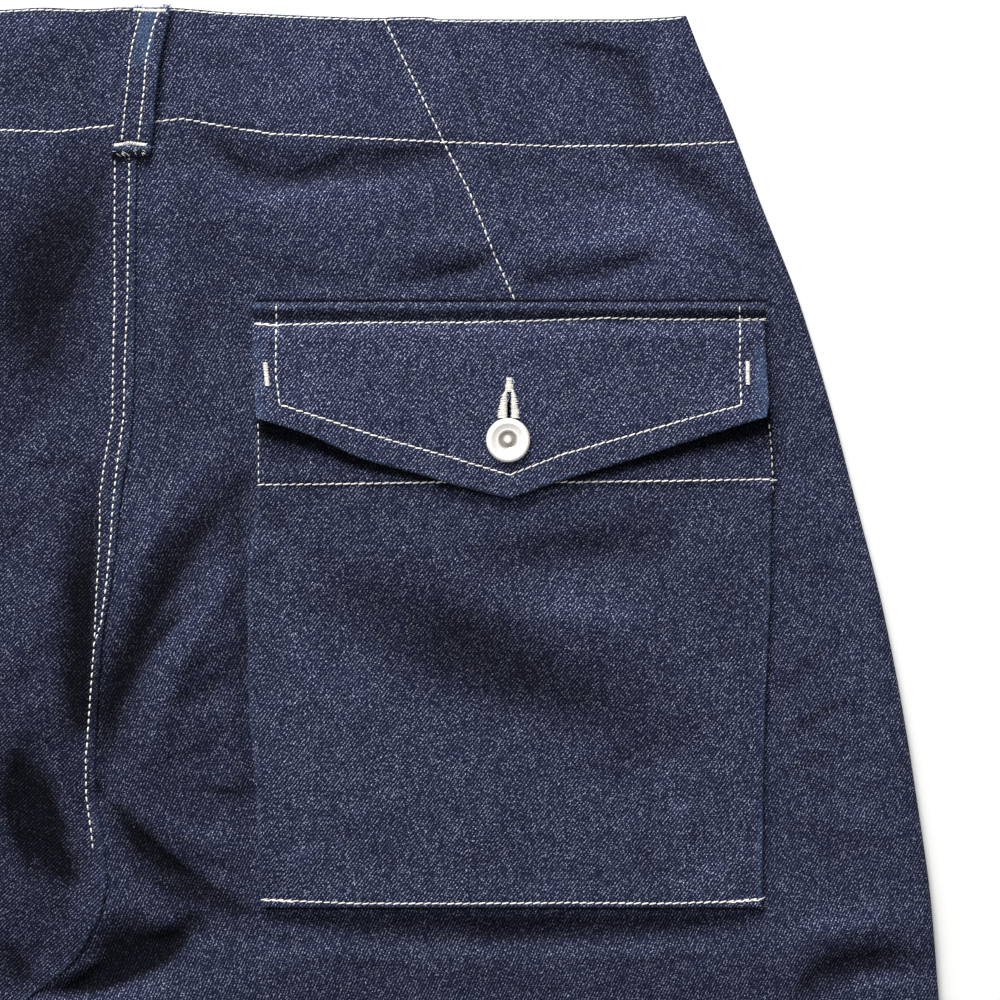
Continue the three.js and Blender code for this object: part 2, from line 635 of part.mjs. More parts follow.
// Tack button turned about its shank: the shank's foot first, then the head
function buttonGeometry(shankLength) {
  const foot = new THREE.Vector2(0, -shankLength);
  const profile = [foot, new THREE.Vector2(BUTTON.shankRadius, -shankLength)];
  profile.push(new THREE.Vector2(BUTTON.shankRadius, 0));
  for (const { radius, rise } of BUTTON_HEAD) profile.push(new THREE.Vector2(radius, rise));
  return new THREE.LatheGeometry(profile, BUTTON.sides).rotateX(Math.PI / 2);
}

function flapButtonGeometry() {
  const back = backHeight(BUTTON.across, BUTTON.down);
  const flapTop = back + flapUnder(BUTTON.down - FLAP.top) + flapWall(BUTTON.down - FLAP.top);
  const pocketTop = back + GAP + POCKET_WALL.hemmed;
  const seat = flapTop + 2 * GAP;
  return buttonGeometry(seat - pocketTop - 2 * GAP).translate(BUTTON.across, LENGTH / 2 - BUTTON.down, seat);
}

function waistButtonGeometry() {
  const seat = WAIST_LIFT - GAP;
  return buttonGeometry(FACED_CLOTH + GAP)
    .rotateX(Math.PI)
    .translate(WAIST_BUTTON.across, LENGTH / 2 - WAIST_BUTTON.down, seat);
}

// Left front, with the buttonhole that the waist button's shank goes through
function frontLeftGeometry() {
  const hole = roundCutter(
    BUTTON.shankRadius + BUTTONHOLE.clearance,
    WAIST_BUTTON.across,
    WAIST_BUTTON.down,
    WAIST_LIFT,
  );
  return geometryOf(solidOf(slab(frontLeft.inner, frontLeft.outer)).subtract(solidOf(hole)));
}

// Fly placket: a strip on the fronts' inner faces, tapered at its foot
function placketGeometry() {
  const under = [];
  const top = [];
  for (const down of frontRows.filter((d) => d <= PLACKET.end)) {
    const taper = smoothstep(down, PLACKET.end - 2 * PLACKET.taper, PLACKET.end) * PLACKET.taper;
    const z = lift(down) + wallAt(down) + GAP;
    const line = [0, 1 / 3, 2 / 3, 1].map((share) => {
      const across = lerp(PLACKET.left + taper, PLACKET.right, share);
      return new THREE.Vector3(across, rowY(frontWaistEdge, across, down), z);
    });
    under.push(line);
    top.push(line.map((p) => p.clone().setZ(p.z + PLACKET.wall)));
  }
  return slab(top, under);
}

// Belt loop at the centre back, tacked at both ends and standing off the waist between them
function backLoopGeometry() {
  const under = [];
  const top = [];
  for (let i = 0; i <= LOOP.rows; i++) {
    const share = i / LOOP.rows;
    const down = lerp(BACK_LOOP.top, BACK_LOOP.bottom, share);
    const middle = lerp(BACK_LOOP.topAcross, BACK_LOOP.bottomAcross, share);
    const seat = backHeight(middle, down) + FELL.height + GAP;
    const arch = LOOP.arch * Math.sin(Math.PI * share);
    const roll = i === LOOP.rows - 1 ? BACK_LOOP.roll : 0;
    const line = [-1, 0, 1].map(
      (s) => new THREE.Vector3(middle + (s * LOOP.width) / 2, LENGTH / 2 - down, seat + arch),
    );
    under.push(line);
    top.push(line.map((p) => p.clone().setZ(p.z + LOOP.wall + roll)));
  }
  return slab(top, under);
}

// Belt loop pressed between a front and the surface, its ends against the front's outer face
function frontLoopGeometry(across) {
  const under = [];
  const top = [];
  for (let i = 0; i <= LOOP.rows; i++) {
    const share = i / LOOP.rows;
    const down = frontWaistEdge(across) + FRONT_LOOP.fromEdge + share * FRONT_LOOP.length;
    const bow = FRONT_LOOP.bow * Math.min(1, 2 * Math.sin(Math.PI * share));
    const line = [-1, 0, 1].map(
      (s) => new THREE.Vector3(across + (s * LOOP.width) / 2, LENGTH / 2 - down, WAIST_LIFT - GAP - bow),
    );
    top.push(line);
    under.push(line.map((p) => p.clone().setZ(p.z - FRONT_LOOP.wall)));
  }
  return slab(top, under);
}

const denim = (color) => new THREE.MeshStandardMaterial({ color, roughness: 0.92, metalness: 0 });
const silveredMetal = () =>
  new THREE.MeshStandardMaterial({ color: "#e9e6de", roughness: 0.3, metalness: 1 });

const laid = new THREE.Group();

function addPiece(name, geometry, material) {
  const mesh = new THREE.Mesh(geometry, material);
  mesh.name = name;
  laid.add(mesh);
}

addPiece("back_right", slab(backRight.outer, backRight.inner), denim("#353850"));
addPiece("back_left", slab(backLeft.outer, backLeft.inner), denim("#33364d"));
addPiece("front_right", slab(frontRight.inner, frontRight.outer), denim("#343750"));
addPiece("front_left", frontLeftGeometry(), denim("#343750"));
addPiece("pocket_back_right", pocketGeometry(), denim("#373a4d"));
addPiece("flap_right", flapGeometry(), denim("#484b5d"));
addPiece("flap_button", flapButtonGeometry(), silveredMetal());
addPiece("belt_loop_back", backLoopGeometry(), denim("#3c557d"));
addPiece("fly_placket", placketGeometry(), denim("#343750"));
addPiece("waist_button", waistButtonGeometry(), silveredMetal());
for (const { name, across } of FRONT_LOOP_PLACES) addPiece(name, frontLoopGeometry(across), denim("#3c4560"));

// The origin is under the middle of the laid garment
const widest = Math.max(...rows.map(sideRight));
const leftmost = Math.min(...rows.map(sideLeft));
laid.position.x = -(widest + leftmost) / 2;

const trousers = new THREE.Group();
trousers.add(laid);

export default trousers;
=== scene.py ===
import math

import bpy
import numpy as np
from bpy.props import FloatProperty, FloatVectorProperty, PointerProperty
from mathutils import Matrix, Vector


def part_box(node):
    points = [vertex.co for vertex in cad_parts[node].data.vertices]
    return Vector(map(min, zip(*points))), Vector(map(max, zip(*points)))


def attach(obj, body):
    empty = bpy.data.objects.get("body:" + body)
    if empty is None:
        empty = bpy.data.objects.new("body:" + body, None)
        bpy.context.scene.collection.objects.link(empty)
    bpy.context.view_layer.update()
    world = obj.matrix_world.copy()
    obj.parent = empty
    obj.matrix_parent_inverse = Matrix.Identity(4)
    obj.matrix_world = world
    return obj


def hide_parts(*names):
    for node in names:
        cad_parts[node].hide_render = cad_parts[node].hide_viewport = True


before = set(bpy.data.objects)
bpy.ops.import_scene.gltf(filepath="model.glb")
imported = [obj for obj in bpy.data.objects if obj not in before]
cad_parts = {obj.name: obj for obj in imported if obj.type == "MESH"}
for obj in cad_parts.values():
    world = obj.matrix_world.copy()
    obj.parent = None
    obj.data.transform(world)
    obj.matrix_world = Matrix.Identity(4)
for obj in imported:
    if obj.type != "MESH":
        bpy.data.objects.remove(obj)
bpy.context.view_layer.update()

# Denim trousers laid flat, back side up, dressed for a close-up of the right back waist and pocket.
# Places are in millimetres: across is measured from the centre back of the waist, down from the waist.

bl_info = {
    "name": "Denim trousers laid flat",
    "version": (1, 0, 0),
    "blender": (4, 5, 0),
    "location": "3D View > Sidebar > Trousers",
    "description": "Makes the cloth, topstitching, buttons and stage of a pair of denim trousers",
    "category": "Object",
}

MM = 0.001
# Where the centre back lies from the middle of the laid outline: the left side reaches 402 from it
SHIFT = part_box("back_left")[0].x / MM + 402
LENGTH = 1020
FORK_DOWN = 404

# One pixel of the photograph, the pixel at the centre back of the waist, and half the picture
PHOTO_PIXEL = 0.386
PHOTO_ORIGIN = (150, 7)
PHOTO_HALF = 500

# Cloth
CLOTH = 1.3
FACED_CLOTH = 1.8
HEMMED_CLOTH = 2.2
FACING_DEPTH = 46
HEM_DEPTH = 30
GAP = 0.3
EDGE_RADIUS = 4
SIDE_SEAM_HEIGHT = 2.7
BACK_HEIGHT = 6
WAIST_LIFT = 2.6
LIFT_FROM = 83.4
LIFT_TO = 128.5
WAIST_EDGE_FADE = 60
PLACKET = {"left": -45, "right": 6, "end": 184, "taper": 18, "wall": 1.3, "margin": 12}
POCKET = {"top": 128.5, "hem": 184, "bottom": 347.8}
FLAP = {"left": 40.5, "right": 238.3, "top": 114}
BUTTON = {"across": 138.2, "down": 167.3}
WAIST_BUTTON = {"across": -13, "down": 36}
PRESSED = {"left": 40, "right": 240, "top": 114, "bottom": 172, "margin": 14, "share": 0.9}
# Folds keep this share of their rise at their ends, are all raised a little, and level off towards
# a limit. Creases are steeper on the left of their run.
FOLD_END_SHARE = 0.35
FOLD_GAIN = 1.15
FOLD_LIMIT = 3.0
CREASE_LEAN = 0.4

# Outer edges of both legs: down, right, left
SIDES = (
    (0, 207, -207), (6, 209.2, -210), (21, 214.8, -216), (36, 221.2, -223), (75, 235.8, -243),
    (113, 250.9, -262), (152, 262.9, -279), (190, 272.9, -294), (229, 282.9, -312),
    (268, 290.7, -329), (306, 296.8, -345), (345, 302.2, -359), (383, 305.3, -370),
    (440, 310, -382), (500, 313, -390), (600, 314, -397), (750, 312, -401), (900, 306, -402),
    (1020, 300, -402),
)
# Centre back seam and centre front seam: down, across
SEAT_SEAM = (
    (0, -5.4), (59, -6.2), (113, -6.9), (158, -8.1), (190, -12.6), (222, -16.2), (244, -19.8),
    (268, -21.6), (294, -22.5), (312, -20.7), (337, -17.6), (346, -18.9), (355, -22.5),
    (366, -28.6), (375, -37.5), (384, -49), (404, -58),
)
FRONT_SEAM = ((0, 0), (184, 0), (240, -7), (300, -24), (350, -42), (404, -58))
# Inner edges of the legs below the fork: down, right, left
INSEAMS = (
    (404, -58, -58), (420, -55, -61), (440, -50, -65), (500, -34, -76), (600, -8, -96),
    (750, 24, -124), (900, 42, -144), (1020, 50, -152),
)
# Side edges of the pocket: down, left, right
POCKET_SIDES = (
    (113, 41, 235), (128.5, 41, 237.3), (184, 41.2, 240.4), (205, 39.2, 239.9),
    (229, 37.6, 239.5), (271, 38.2, 237.7), (294, 40.5, 237.1), (347.8, 42.7, 236.5),
)
# Waist edges of the backs and of the fronts, as a drop from the highest point: across, drop
BACK_WAIST = (
    (-207, 3), (-120, 2), (-56, 0.9), (-42, 0.1), (-26, 0.7), (-10, 0.1), (6, 0.1), (17, 0.7),
    (27, 1.6), (42, 2.4), (60, 3.2), (88, 4.1), (98, 3.6), (106, 3.7), (113, 4.6), (180, 4.6),
    (200, 3.8), (207, 3.1),
)
FRONT_WAIST = ((-207, 3), (-120, 12), (-50, 17), (-30, 18), (0, 18), (60, 17), (130, 12), (207, 4))
# Folds pressed into the backs: from across and down, to across and down, bow, half width, rise
FOLDS = (
    (34.7, 186, -19.3, 302, 12, 9, -2.2), (40, 215, 2, 280, 6, 12, 1.8), (8, 74, 8, 160, 0, 9, 1.2),
    (-22, 285, -19, 346, -3, 8, 2.6), (-19, 350, -56, 398, -5, 9, 3.2),
    (-19.3, 304, 36.7, 350, 8, 7, -2.2), (-36, 381, 12, 358, -7, 9, -3),
    (-40, 402, 60, 372, -4, 14, 3.4), (7.7, 271, 36.7, 248, 0, 6, -1),
    (-40, 70, -48, 150, 0, 20, -1.1), (-27, 198, -30, 283, 0, 8, -1.8),
    (-52, 205, -56, 285, 0, 15, 1.4), (-51, 292, -31, 336, 3, 8, -2),
    (21, 52, 112, 56, 9, 6, -1.8), (30, 84, 120, 78, 0, 16, 0.9), (189, 56, 235, 94, -4, 8, -1.6),
    (92.6, 106, 131, 98, 0, 6, -1.3), (142.8, 106, 191, 98, 0, 6, -1.3),
    (158, 15, 193, 45, -6, 8, -0.9), (112, 12, 143, 108, 0, 9, 0.7),
    (73, 225, 189, 267, 0, 16, -2.4), (127, 213, 197, 204, 0, 9, -1.2),
    (135, 231, 196, 240, 0, 13, 1.6), (55, 290, 215, 312, 0, 24, 1),
    (46, 354, 226, 356, 3, 6, -1.5), (50, 372, 230, 368, 4, 11, 1.4),
    (250, 384, 296, 369, -6, 8, -2.2), (245, 366, 300, 352, -5, 9, 1.5),
    (-90, 110, -225, 92, 6, 12, -1.2), (-95, 190, -240, 170, 8, 16, -1.8),
    (-85, 225, -230, 215, 6, 18, 1.6), (-70, 300, -250, 250, -10, 16, -2.2),
    (-60, 350, -200, 300, -8, 18, 2.2), (-250, 330, -350, 345, 6, 14, -1.8),
    (-30, 425, 130, 520, 10, 20, -2.2), (10, 415, 170, 470, 8, 20, 2.4),
    (280, 500, 180, 590, -10, 22, -2), (20, 620, 210, 660, 12, 24, 2.2),
    (60, 690, 280, 660, -14, 22, -2), (100, 800, 260, 850, 10, 26, 1.8),
    (120, 900, 270, 880, -10, 24, -1.8), (-85, 430, -230, 530, -12, 20, -2.3),
    (-100, 410, -260, 470, -8, 20, 2.3), (-370, 480, -270, 600, 12, 22, -2),
    (-130, 600, -320, 640, -10, 26, 2), (-150, 670, -370, 700, 14, 22, -2.2),
    (-180, 780, -340, 820, -10, 24, 1.7), (-200, 880, -380, 910, 10, 24, -1.7),
)
# Sharper creases of the part that the photograph shows, in its pixels: from, to, bow, half width.
# The rise stays in millimetres. A positive bow goes to the right of the run.
CREASES = (
    # Under the waist seam and over the yoke
    (210, 140, 350, 152, 30, 9, -2.4), (345, 154, 450, 152, 2, 8, -1.4), (215, 190, 345, 188, 16, 16, 1.4),
    (640, 150, 765, 245, -10, 13, -2.2), (655, 185, 745, 275, -6, 17, 1.5), (560, 48, 632, 62, -4, 10, -1.3),
    (630, 60, 652, 128, -4, 10, -1.6), (668, 45, 690, 120, 0, 12, 1.0), (385, 286, 492, 258, 4, 9, -1.9),
    (518, 284, 650, 258, 6, 9, -1.9), (395, 248, 500, 236, 4, 15, 1.3), (530, 250, 660, 232, 6, 14, 1.2),
    (250, 258, 380, 284, 6, 12, -0.9), (560, 180, 640, 196, 4, 12, -0.8), (350, 200, 420, 186, 0, 14, 0.7),
    (700, 255, 770, 290, -5, 12, -1.2), (10, 82, 60, 66, 0, 14, -1.2), (95, 36, 80, 115, 4, 12, -1.3),
    (60, 28, 20, 45, 0, 12, 0.9), (200, 60, 260, 50, 4, 13, -0.7), (300, 90, 360, 70, 0, 13, 0.6),
    # Seat, to the right of the centre seam
    (246, 482, 100, 792, 31, 9, -2.9), (266, 545, 150, 785, 24, 15, 2.0), (206, 465, 122, 640, 16, 14, 1.8),
    (205, 600, 128, 690, 10, 7, -1.8),
    (100, 795, 246, 916, 8, 8, -3.2), (56, 992, 192, 924, 6, 14, -5.5), (122, 905, 232, 962, 0, 15, 2.0),
    (60, 990, 180, 938, 8, 9, -3.5),
    (150, 815, 250, 850, 8, 14, 1.5), (170, 710, 246, 650, 4, 10, -1.0), (200, 792, 256, 790, 4, 9, -1.2),
    (160, 200, 172, 400, 0, 12, 0.9), (190, 330, 178, 470, 4, 13, -0.9), (225, 330, 240, 430, 0, 14, 0.7),
    (238, 480, 247, 650, 4, 8, -1.4), (195, 215, 240, 300, -6, 12, -0.7), (30, 1010, 150, 985, 4, 12, 1.8),
    # Left of the centre seam
    (112, 150, 34, 330, 8, 36, -1.9), (96, 478, 84, 724, 3, 10, -3.2), (52, 500, 44, 720, 0, 20, 1.5),
    (18, 762, 72, 878, 8, 9, -3.4), (50, 760, 82, 850, 0, 10, 1.6), (0, 826, 48, 932, 6, 15, 1.8),
    (0, 700, 50, 640, 5, 14, -1.3), (10, 470, 70, 400, 6, 18, 1.2), (0, 940, 40, 1000, 0, 14, -1.8),
    (20, 180, 60, 130, 0, 15, 0.9), (0, 560, 40, 500, 0, 14, -0.9),
    # Pocket and the leg round it
    (335, 585, 652, 732, 4, 32, -1.7), (480, 560, 662, 536, 0, 18, -1.2), (520, 612, 650, 628, 0, 24, 1.5),
    (300, 660, 420, 740, 0, 26, 1.1), (266, 500, 312, 562, 2, 7, -1.0), (280, 530, 330, 600, 2, 9, 0.8),
    (560, 780, 700, 730, 6, 20, -1.1), (330, 860, 340, 780, 0, 10, -0.6), (450, 870, 455, 800, 0, 10, 0.5),
    (640, 880, 650, 800, 0, 12, -0.6), (280, 870, 330, 850, 0, 14, 1.0), (700, 880, 755, 860, 0, 14, 1.0),
    (400, 923, 740, 921, 3, 10, -2.0), (270, 914, 402, 926, 4, 9, -1.5), (280, 955, 700, 952, 5, 15, 1.3),
    (800, 1004, 832, 966, -4, 9, -2.0), (830, 967, 916, 961, -5, 10, -2.2), (790, 938, 900, 930, -4, 15, 1.5),
    (850, 990, 910, 985, -3, 12, 1.6), (784, 692, 846, 640, -4, 8, -1.0), (788, 742, 852, 704, -4, 8, -1.1),
    (790, 774, 842, 756, -3, 8, -0.9), (790, 560, 850, 580, 4, 16, -0.9), (785, 470, 830, 520, 3, 14, 0.8),
    (775, 335, 780, 455, 0, 9, -1.2), (810, 830, 880, 850, 5, 16, -0.9),
    # Small creases
    (232, 136, 246, 170, 5, 5, -1.0), (262, 178, 330, 160, 6, 5, -1.1), (640, 40, 650, 118, -2, 5, -0.9),
    (560, 46, 628, 56, -3, 5, -0.8), (440, 270, 492, 262, 2, 4, -0.9), (520, 282, 560, 270, 2, 4, -0.9),
    (600, 262, 655, 250, 3, 5, -0.7), (700, 180, 740, 222, -3, 6, -0.9), (20, 250, 62, 190, 3, 8, -1.0),
    (60, 300, 92, 230, 3, 7, -1.0), (10, 380, 60, 330, 4, 8, -0.9), (150, 300, 158, 440, 0, 6, -0.8),
    (20, 470, 80, 460, 3, 7, -0.9), (30, 560, 84, 590, 4, 8, -1.1), (60, 640, 84, 740, 0, 6, -1.3),
    (10, 800, 36, 880, 4, 7, -1.4), (44, 770, 70, 840, 4, 5, -1.4), (150, 560, 210, 520, 4, 6, -1.0),
    (130, 660, 190, 600, 4, 6, -1.1), (150, 690, 236, 640, 5, 6, -0.8), (150, 770, 236, 720, 5, 7, -0.7),
    (180, 840, 246, 880, 4, 6, -0.9), (130, 870, 200, 900, 4, 6, -1.0), (110, 950, 160, 938, 3, 5, -1.4),
    (300, 540, 330, 620, 3, 6, -0.6), (400, 640, 470, 690, 3, 10, -0.6), (520, 680, 600, 700, 3, 10, -0.6),
    (560, 540, 650, 552, 3, 8, -0.6), (300, 800, 400, 820, 4, 10, 0.5), (600, 830, 720, 800, 4, 10, 0.5),
    (700, 830, 740, 870, 3, 7, -0.7), (640, 850, 680, 880, 3, 6, -0.6), (790, 600, 850, 640, 3, 8, -0.6),
    (800, 500, 840, 560, 3, 8, -0.5), (800, 720, 850, 745, 3, 6, -0.8), (800, 780, 860, 800, 3, 7, -0.6),
    (300, 960, 420, 972, 3, 8, -0.8), (560, 968, 700, 960, 3, 8, -0.7), (230, 930, 330, 946, 4, 7, -1.0),
)

# Patches of painted light and shade, paler or darker, in photograph pixels: middle, reach both ways, change
PAINTED_LIGHT_AND_SHADE = (
    (650, 225, 110, 60, 0.56), (195, 300, 55, 130, -0.2), (480, 965, 300, 34, -0.4),
    (45, 360, 70, 180, -0.12),
    (35, 720, 55, 150, -0.12), (850, 620, 60, 300, 0.1), (175, 770, 70, 130, -0.2), (50, 70, 70, 50, -0.16),
    (245, 560, 22, 90, -0.16), (90, 240, 26, 90, -0.16), (300, 60, 60, 40, 0.08), (560, 100, 60, 30, 0.08),
    (150, 960, 60, 40, -0.18), (880, 930, 60, 50, -0.1), (340, 235, 60, 30, 0.08), (700, 80, 20, 60, -0.1),
    (30, 540, 40, 60, 0.04), (60, 860, 30, 60, 0.05), (215, 640, 20, 50, 0.08),
    (243, 700, 14, 180, -0.36), (30, 840, 70, 120, -0.2), (190, 620, 60, 200, -0.1),
)

# Section of the flap down from its top edge: distance, height over the back
FLAP_RISE = (
    (0, 1.4), (0.7, 2.9), (2, 3.9), (3.6, 3.5), (5.6, 2.6), (7.3, 2.1), (9, 2.7), (11, 4.1),
    (14, 5.4), (30, 5.6), (90, 5.6),
)
FLAP_WALL = 2.2
FLAP_CORNER_LIFT = 5.2
FLAP_OUTLINE = (
    (253, 307), (252, 330), (255, 390), (258, 420), (308, 435), (360, 458), (414, 473), (458, 486),
    (510, 499), (561, 481), (628, 461), (684, 443), (765, 418), (768, 404), (764.7, 337), (764.7, 303.5),
)

# Stitch lines, as places on the photograph in its pixels
WAIST_FACING_LINE = (
    (-420, 150), (-300, 144), (-200, 138), (-100, 133), (0, 130), (56, 132), (87, 128), (115, 126),
    (156, 121.5), (184, 119), (217, 125), (271, 134), (340, 137), (438, 142), (482, 143.6),
    (558, 146.4), (612, 145.8), (670, 145), (738, 142),
)
DART_LINE = (
    (384, 19.5), (412, 76), (443, 141), (469, 191), (495, 256), (515.5, 301.5),
)
DART_FOLD = (
    (444, 24), (448, 46.6), (460, 82), (478.6, 134.5), (495, 189), (514, 258), (528.5, 299),
)
# The felled seam's two rows, as far as the seam rolls over and hides them
SEAT_LEFT_LINE = (
    (130.5, 13), (127.4, 34), (124.5, 60), (119.5, 110), (115, 160), (114.3, 300), (112.4, 365),
    (112, 417), (105.6, 452), (99, 495), (98.7, 538), (96, 582), (93.3, 640),
)
SEAT_RIGHT_LINE = (
    (145, 16), (137, 80), (129.5, 160), (127, 300), (124, 365), (123, 417), (118, 452),
    (113, 495), (110, 538), (106, 582), (99.8, 625), (93, 645), (88, 709), (85, 762), (85.4, 796),
    (91.8, 835), (93, 852),
)
LOOP_LEFT_EDGE = ((9, 130.9), (12, 130.6), (60, 123.6), (100, 118), (151, 111.4), (158, 111.6))
LOOP_RIGHT_EDGE = (
    (9, 171.2), (14.7, 170.8), (26.8, 167.6), (51, 163), (63.8, 160.6), (83, 158.7), (100, 156.8),
    (136, 153.8), (151, 151.6), (158, 151),
)
LOOP_LEFT_LINE = ((141.5, 14), (135.7, 37), (131, 60.6), (128.5, 92.5), (122.5, 143))
LOOP_RIGHT_LINE = ((159.3, 14), (154, 30.6), (148.8, 54), (146.9, 63.8), (145.2, 92.5), (139, 143))
LOOP_TOP_TACK = ((134.5, 11), (150, 11.4), (167.5, 12))
LOOP_BOTTOM_TACK = ((115, 146), (130, 143.7), (147, 145.6))
FLAP_SEAM_LINE = (
    (253.9, 323.6), (276.6, 325.3), (368.8, 322.7), (468.6, 322.7), (570, 319.5), (606, 318),
    (673, 319.6), (740, 319.6), (766, 319),
)
FLAP_TOPSTITCH = (
    (276.6, 306), (276.6, 374), (280.3, 402), (282, 405.6), (323, 418.6), (381.8, 438),
    (447, 456.5), (509.8, 475), (561.6, 455), (624, 437.4), (695.5, 417.3), (740, 406),
    (739, 359), (740, 319), (738.6, 303),
)
POCKET_HEM_LINE = (
    (257, 484.8), (360, 483.7), (442.6, 482), (570.5, 482), (673, 481), (762.5, 479.4), (774, 480.5),
)
POCKET_BOTTOM_LINE = (
    (260.6, 899.5), (357.6, 903.6), (459.6, 903.6), (569, 902.8), (662, 903.6), (723, 901.8), (762, 899),
)
POCKET_LEFT_LINE = ((258.5, 424), (259, 484))
POCKET_RIGHT_LINE = ((769, 424), (772, 460), (773, 490))


def curve(table, key, column):
    """A smooth curve through one column of a table: Hermite steps whose slope is the harmonic mean
    of the two chords beside it, so that nothing overshoots."""
    at = np.array([row[key] for row in table], float)
    value = np.array([row[column] for row in table], float)
    chord = np.diff(value) / np.diff(at)
    before = np.concatenate([chord[:1], chord])
    after = np.concatenate([chord, chord[-1:]])
    product = before * after
    total = np.where(product > 0, before + after, 1)
    slope = np.where(product > 0, 2 * product / total, 0)

    def here(x):
        x = np.asarray(x, float)
        i = np.clip(np.searchsorted(at, x, side="right") - 1, 0, len(at) - 2)
        span = at[i + 1] - at[i]
        t = np.clip((x - at[i]) / span, 0, 1)
        rest = 1 - t
        ends = value[i] * (1 + 2 * t) * rest**2 + value[i + 1] * (3 - 2 * t) * t**2
        return ends + span * t * rest * (slope[i] * rest - slope[i + 1] * t)

    return here


side_right, side_left = (curve(SIDES, 0, column) for column in (1, 2))
inseam_right, inseam_left = (curve(INSEAMS, 0, column) for column in (1, 2))
pocket_left, pocket_right = (curve(POCKET_SIDES, 0, column) for column in (1, 2))
seat_seam, front_seam, back_waist_edge, front_waist_edge, flap_rise = (
    curve(table, 0, 1) for table in (SEAT_SEAM, FRONT_SEAM, BACK_WAIST, FRONT_WAIST, FLAP_RISE)
)


def on_cloth(line):
    """Turns a line of photograph pixels into rows of across and down."""
    return (np.array(line, float) - PHOTO_ORIGIN) * PHOTO_PIXEL


def in_photo(across, down):
    """Turns places on the cloth into photograph pixels."""
    return across / PHOTO_PIXEL + PHOTO_ORIGIN[0], down / PHOTO_PIXEL + PHOTO_ORIGIN[1]


def waist_edge_line():
    """The row of stitches just below the backs' waist edge, as across and down."""
    across = np.linspace(-205.5, 206.5, 70)
    return np.stack([across, back_waist_edge(across) + 1.0], -1)


def step_between(x, low, high):
    """0 below low, 1 above high, and a smooth cubic step between."""
    t = np.clip((x - low) / (high - low), 0, 1)
    return t * t * (3 - 2 * t)


def band(x, rise_from, rise_to, fall_from, fall_to):
    """1 between a soft rise and a soft fall, and 0 outside them."""
    return step_between(x, rise_from, rise_to) * (1 - step_between(x, fall_from, fall_to))


def bell(x, middle, width):
    """1 at the middle, fading as a Gaussian of this width."""
    return np.exp(-(((x - middle) / width) ** 2))


def soft_noise(x, y, cell, seed):
    """Random heights from -1 to 1 on a square grid of this cell, joined by smooth steps."""
    lattice = np.random.default_rng(seed).uniform(-1, 1, (256, 256))
    u, v = x / cell, y / cell
    i, j = np.floor(u).astype(int), np.floor(v).astype(int)
    s, t = step_between(u - i, 0, 1), step_between(v - j, 0, 1)
    i, j = i % 256, j % 256
    i1, j1 = (i + 1) % 256, (j + 1) % 256
    near = lattice[i, j] * (1 - s) + lattice[i1, j] * s
    far = lattice[i, j1] * (1 - s) + lattice[i1, j1] * s
    return near * (1 - t) + far * t


def near_line(line, across, down):
    """Distance of each point from a broken line, positive to the right of its run as drawn on the
    cloth, and the length run along it to the nearest place."""
    best = np.full(np.shape(across), 1e9)
    side = np.zeros_like(best)
    run = np.zeros_like(best)
    passed = 0.0
    for (x0, y0), (x1, y1) in zip(line[:-1], line[1:]):
        dx, dy = x1 - x0, y1 - y0
        length = math.hypot(dx, dy)
        t = np.clip(((across - x0) * dx + (down - y0) * dy) / length**2, 0, 1)
        off_x, off_y = across - x0 - t * dx, down - y0 - t * dy
        distance = np.hypot(off_x, off_y)
        closer = distance < best
        best = np.where(closer, distance, best)
        side = np.where(closer, np.sign(dy * off_x - dx * off_y), side)
        run = np.where(closer, passed + t * length, run)
        passed += length
    return best * np.where(side == 0, 1, side), run


def fold_rise(folds, across, down, lean=0.0):
    """Sum of the folds: each a Gaussian bump across a bowed line, fading to a share at its ends. The
    lean makes it steeper on the left of its run and flatter on the right."""
    total = np.zeros(np.shape(across))
    for x0, y0, x1, y1, bow, half, rise in folds:
        run_across, run_down = x1 - x0, y1 - y0
        run = math.hypot(run_across, run_down)
        x, y = across - x0, down - y0
        along = (x * run_across + y * run_down) / run
        t = np.clip(along / run, 0, 1)
        beyond = along - t * run
        aside = (run_across * y - run_down * x) / run - bow * 4 * t * (1 - t)
        fade = FOLD_END_SHARE + (1 - FOLD_END_SHARE) * np.sin(math.pi * t)
        reach = half * (1 + lean * np.tanh(2 * aside / half))
        total += rise * fade * np.exp(-((aside / reach) ** 2) - (beyond / half) ** 2)
    return total


def folded(across, down):
    """All folds and creases of the backs, as a rise or fall in millimetres."""
    x, y = in_photo(across, down)
    return FOLD_GAIN * fold_rise(FOLDS, across, down) + fold_rise(CREASES, x, y, CREASE_LEAN)


def lift(down):
    """Height of the underside: the waist lies on its loops and button."""
    return WAIST_LIFT * (1 - np.clip((down - LIFT_FROM) / (LIFT_TO - LIFT_FROM), 0, 1))


def wall_at(down):
    """Thickness of a panel: more at its facing and its hem."""
    faced = np.where(down <= FACING_DEPTH, FACED_CLOTH, CLOTH)
    return np.where(down >= LENGTH - HEM_DEPTH, HEMMED_CLOTH, faced)


def pressed_share(across, down):
    """How far the pocket's mouth and flap press the folds flat."""
    p = PRESSED
    inside = np.minimum(
        band(across, p["left"] - p["margin"], p["left"], p["right"], p["right"] + p["margin"]),
        band(down, p["top"] - p["margin"], p["top"], p["bottom"], p["bottom"] + p["margin"]),
    )
    return p["share"] * inside


def lay_height(across, down):
    """Height of the backs' outer face: the lay, its folds and creases, kept clear of the fronts."""
    folds = folded(across, down) * (1 - pressed_share(across, down))
    free = lift(down) + BACK_HEIGHT + np.where(folds < 0, FOLD_LIMIT * np.tanh(folds / FOLD_LIMIT), folds)
    p = PLACKET
    over = (across > p["left"] - p["margin"]) & (across < p["right"] + p["margin"])
    over &= down < p["end"] + p["margin"]
    under = lift(down) + wall_at(down) + GAP + np.where(over, p["wall"] + GAP, 0)
    return np.maximum(free, under + wall_at(down))


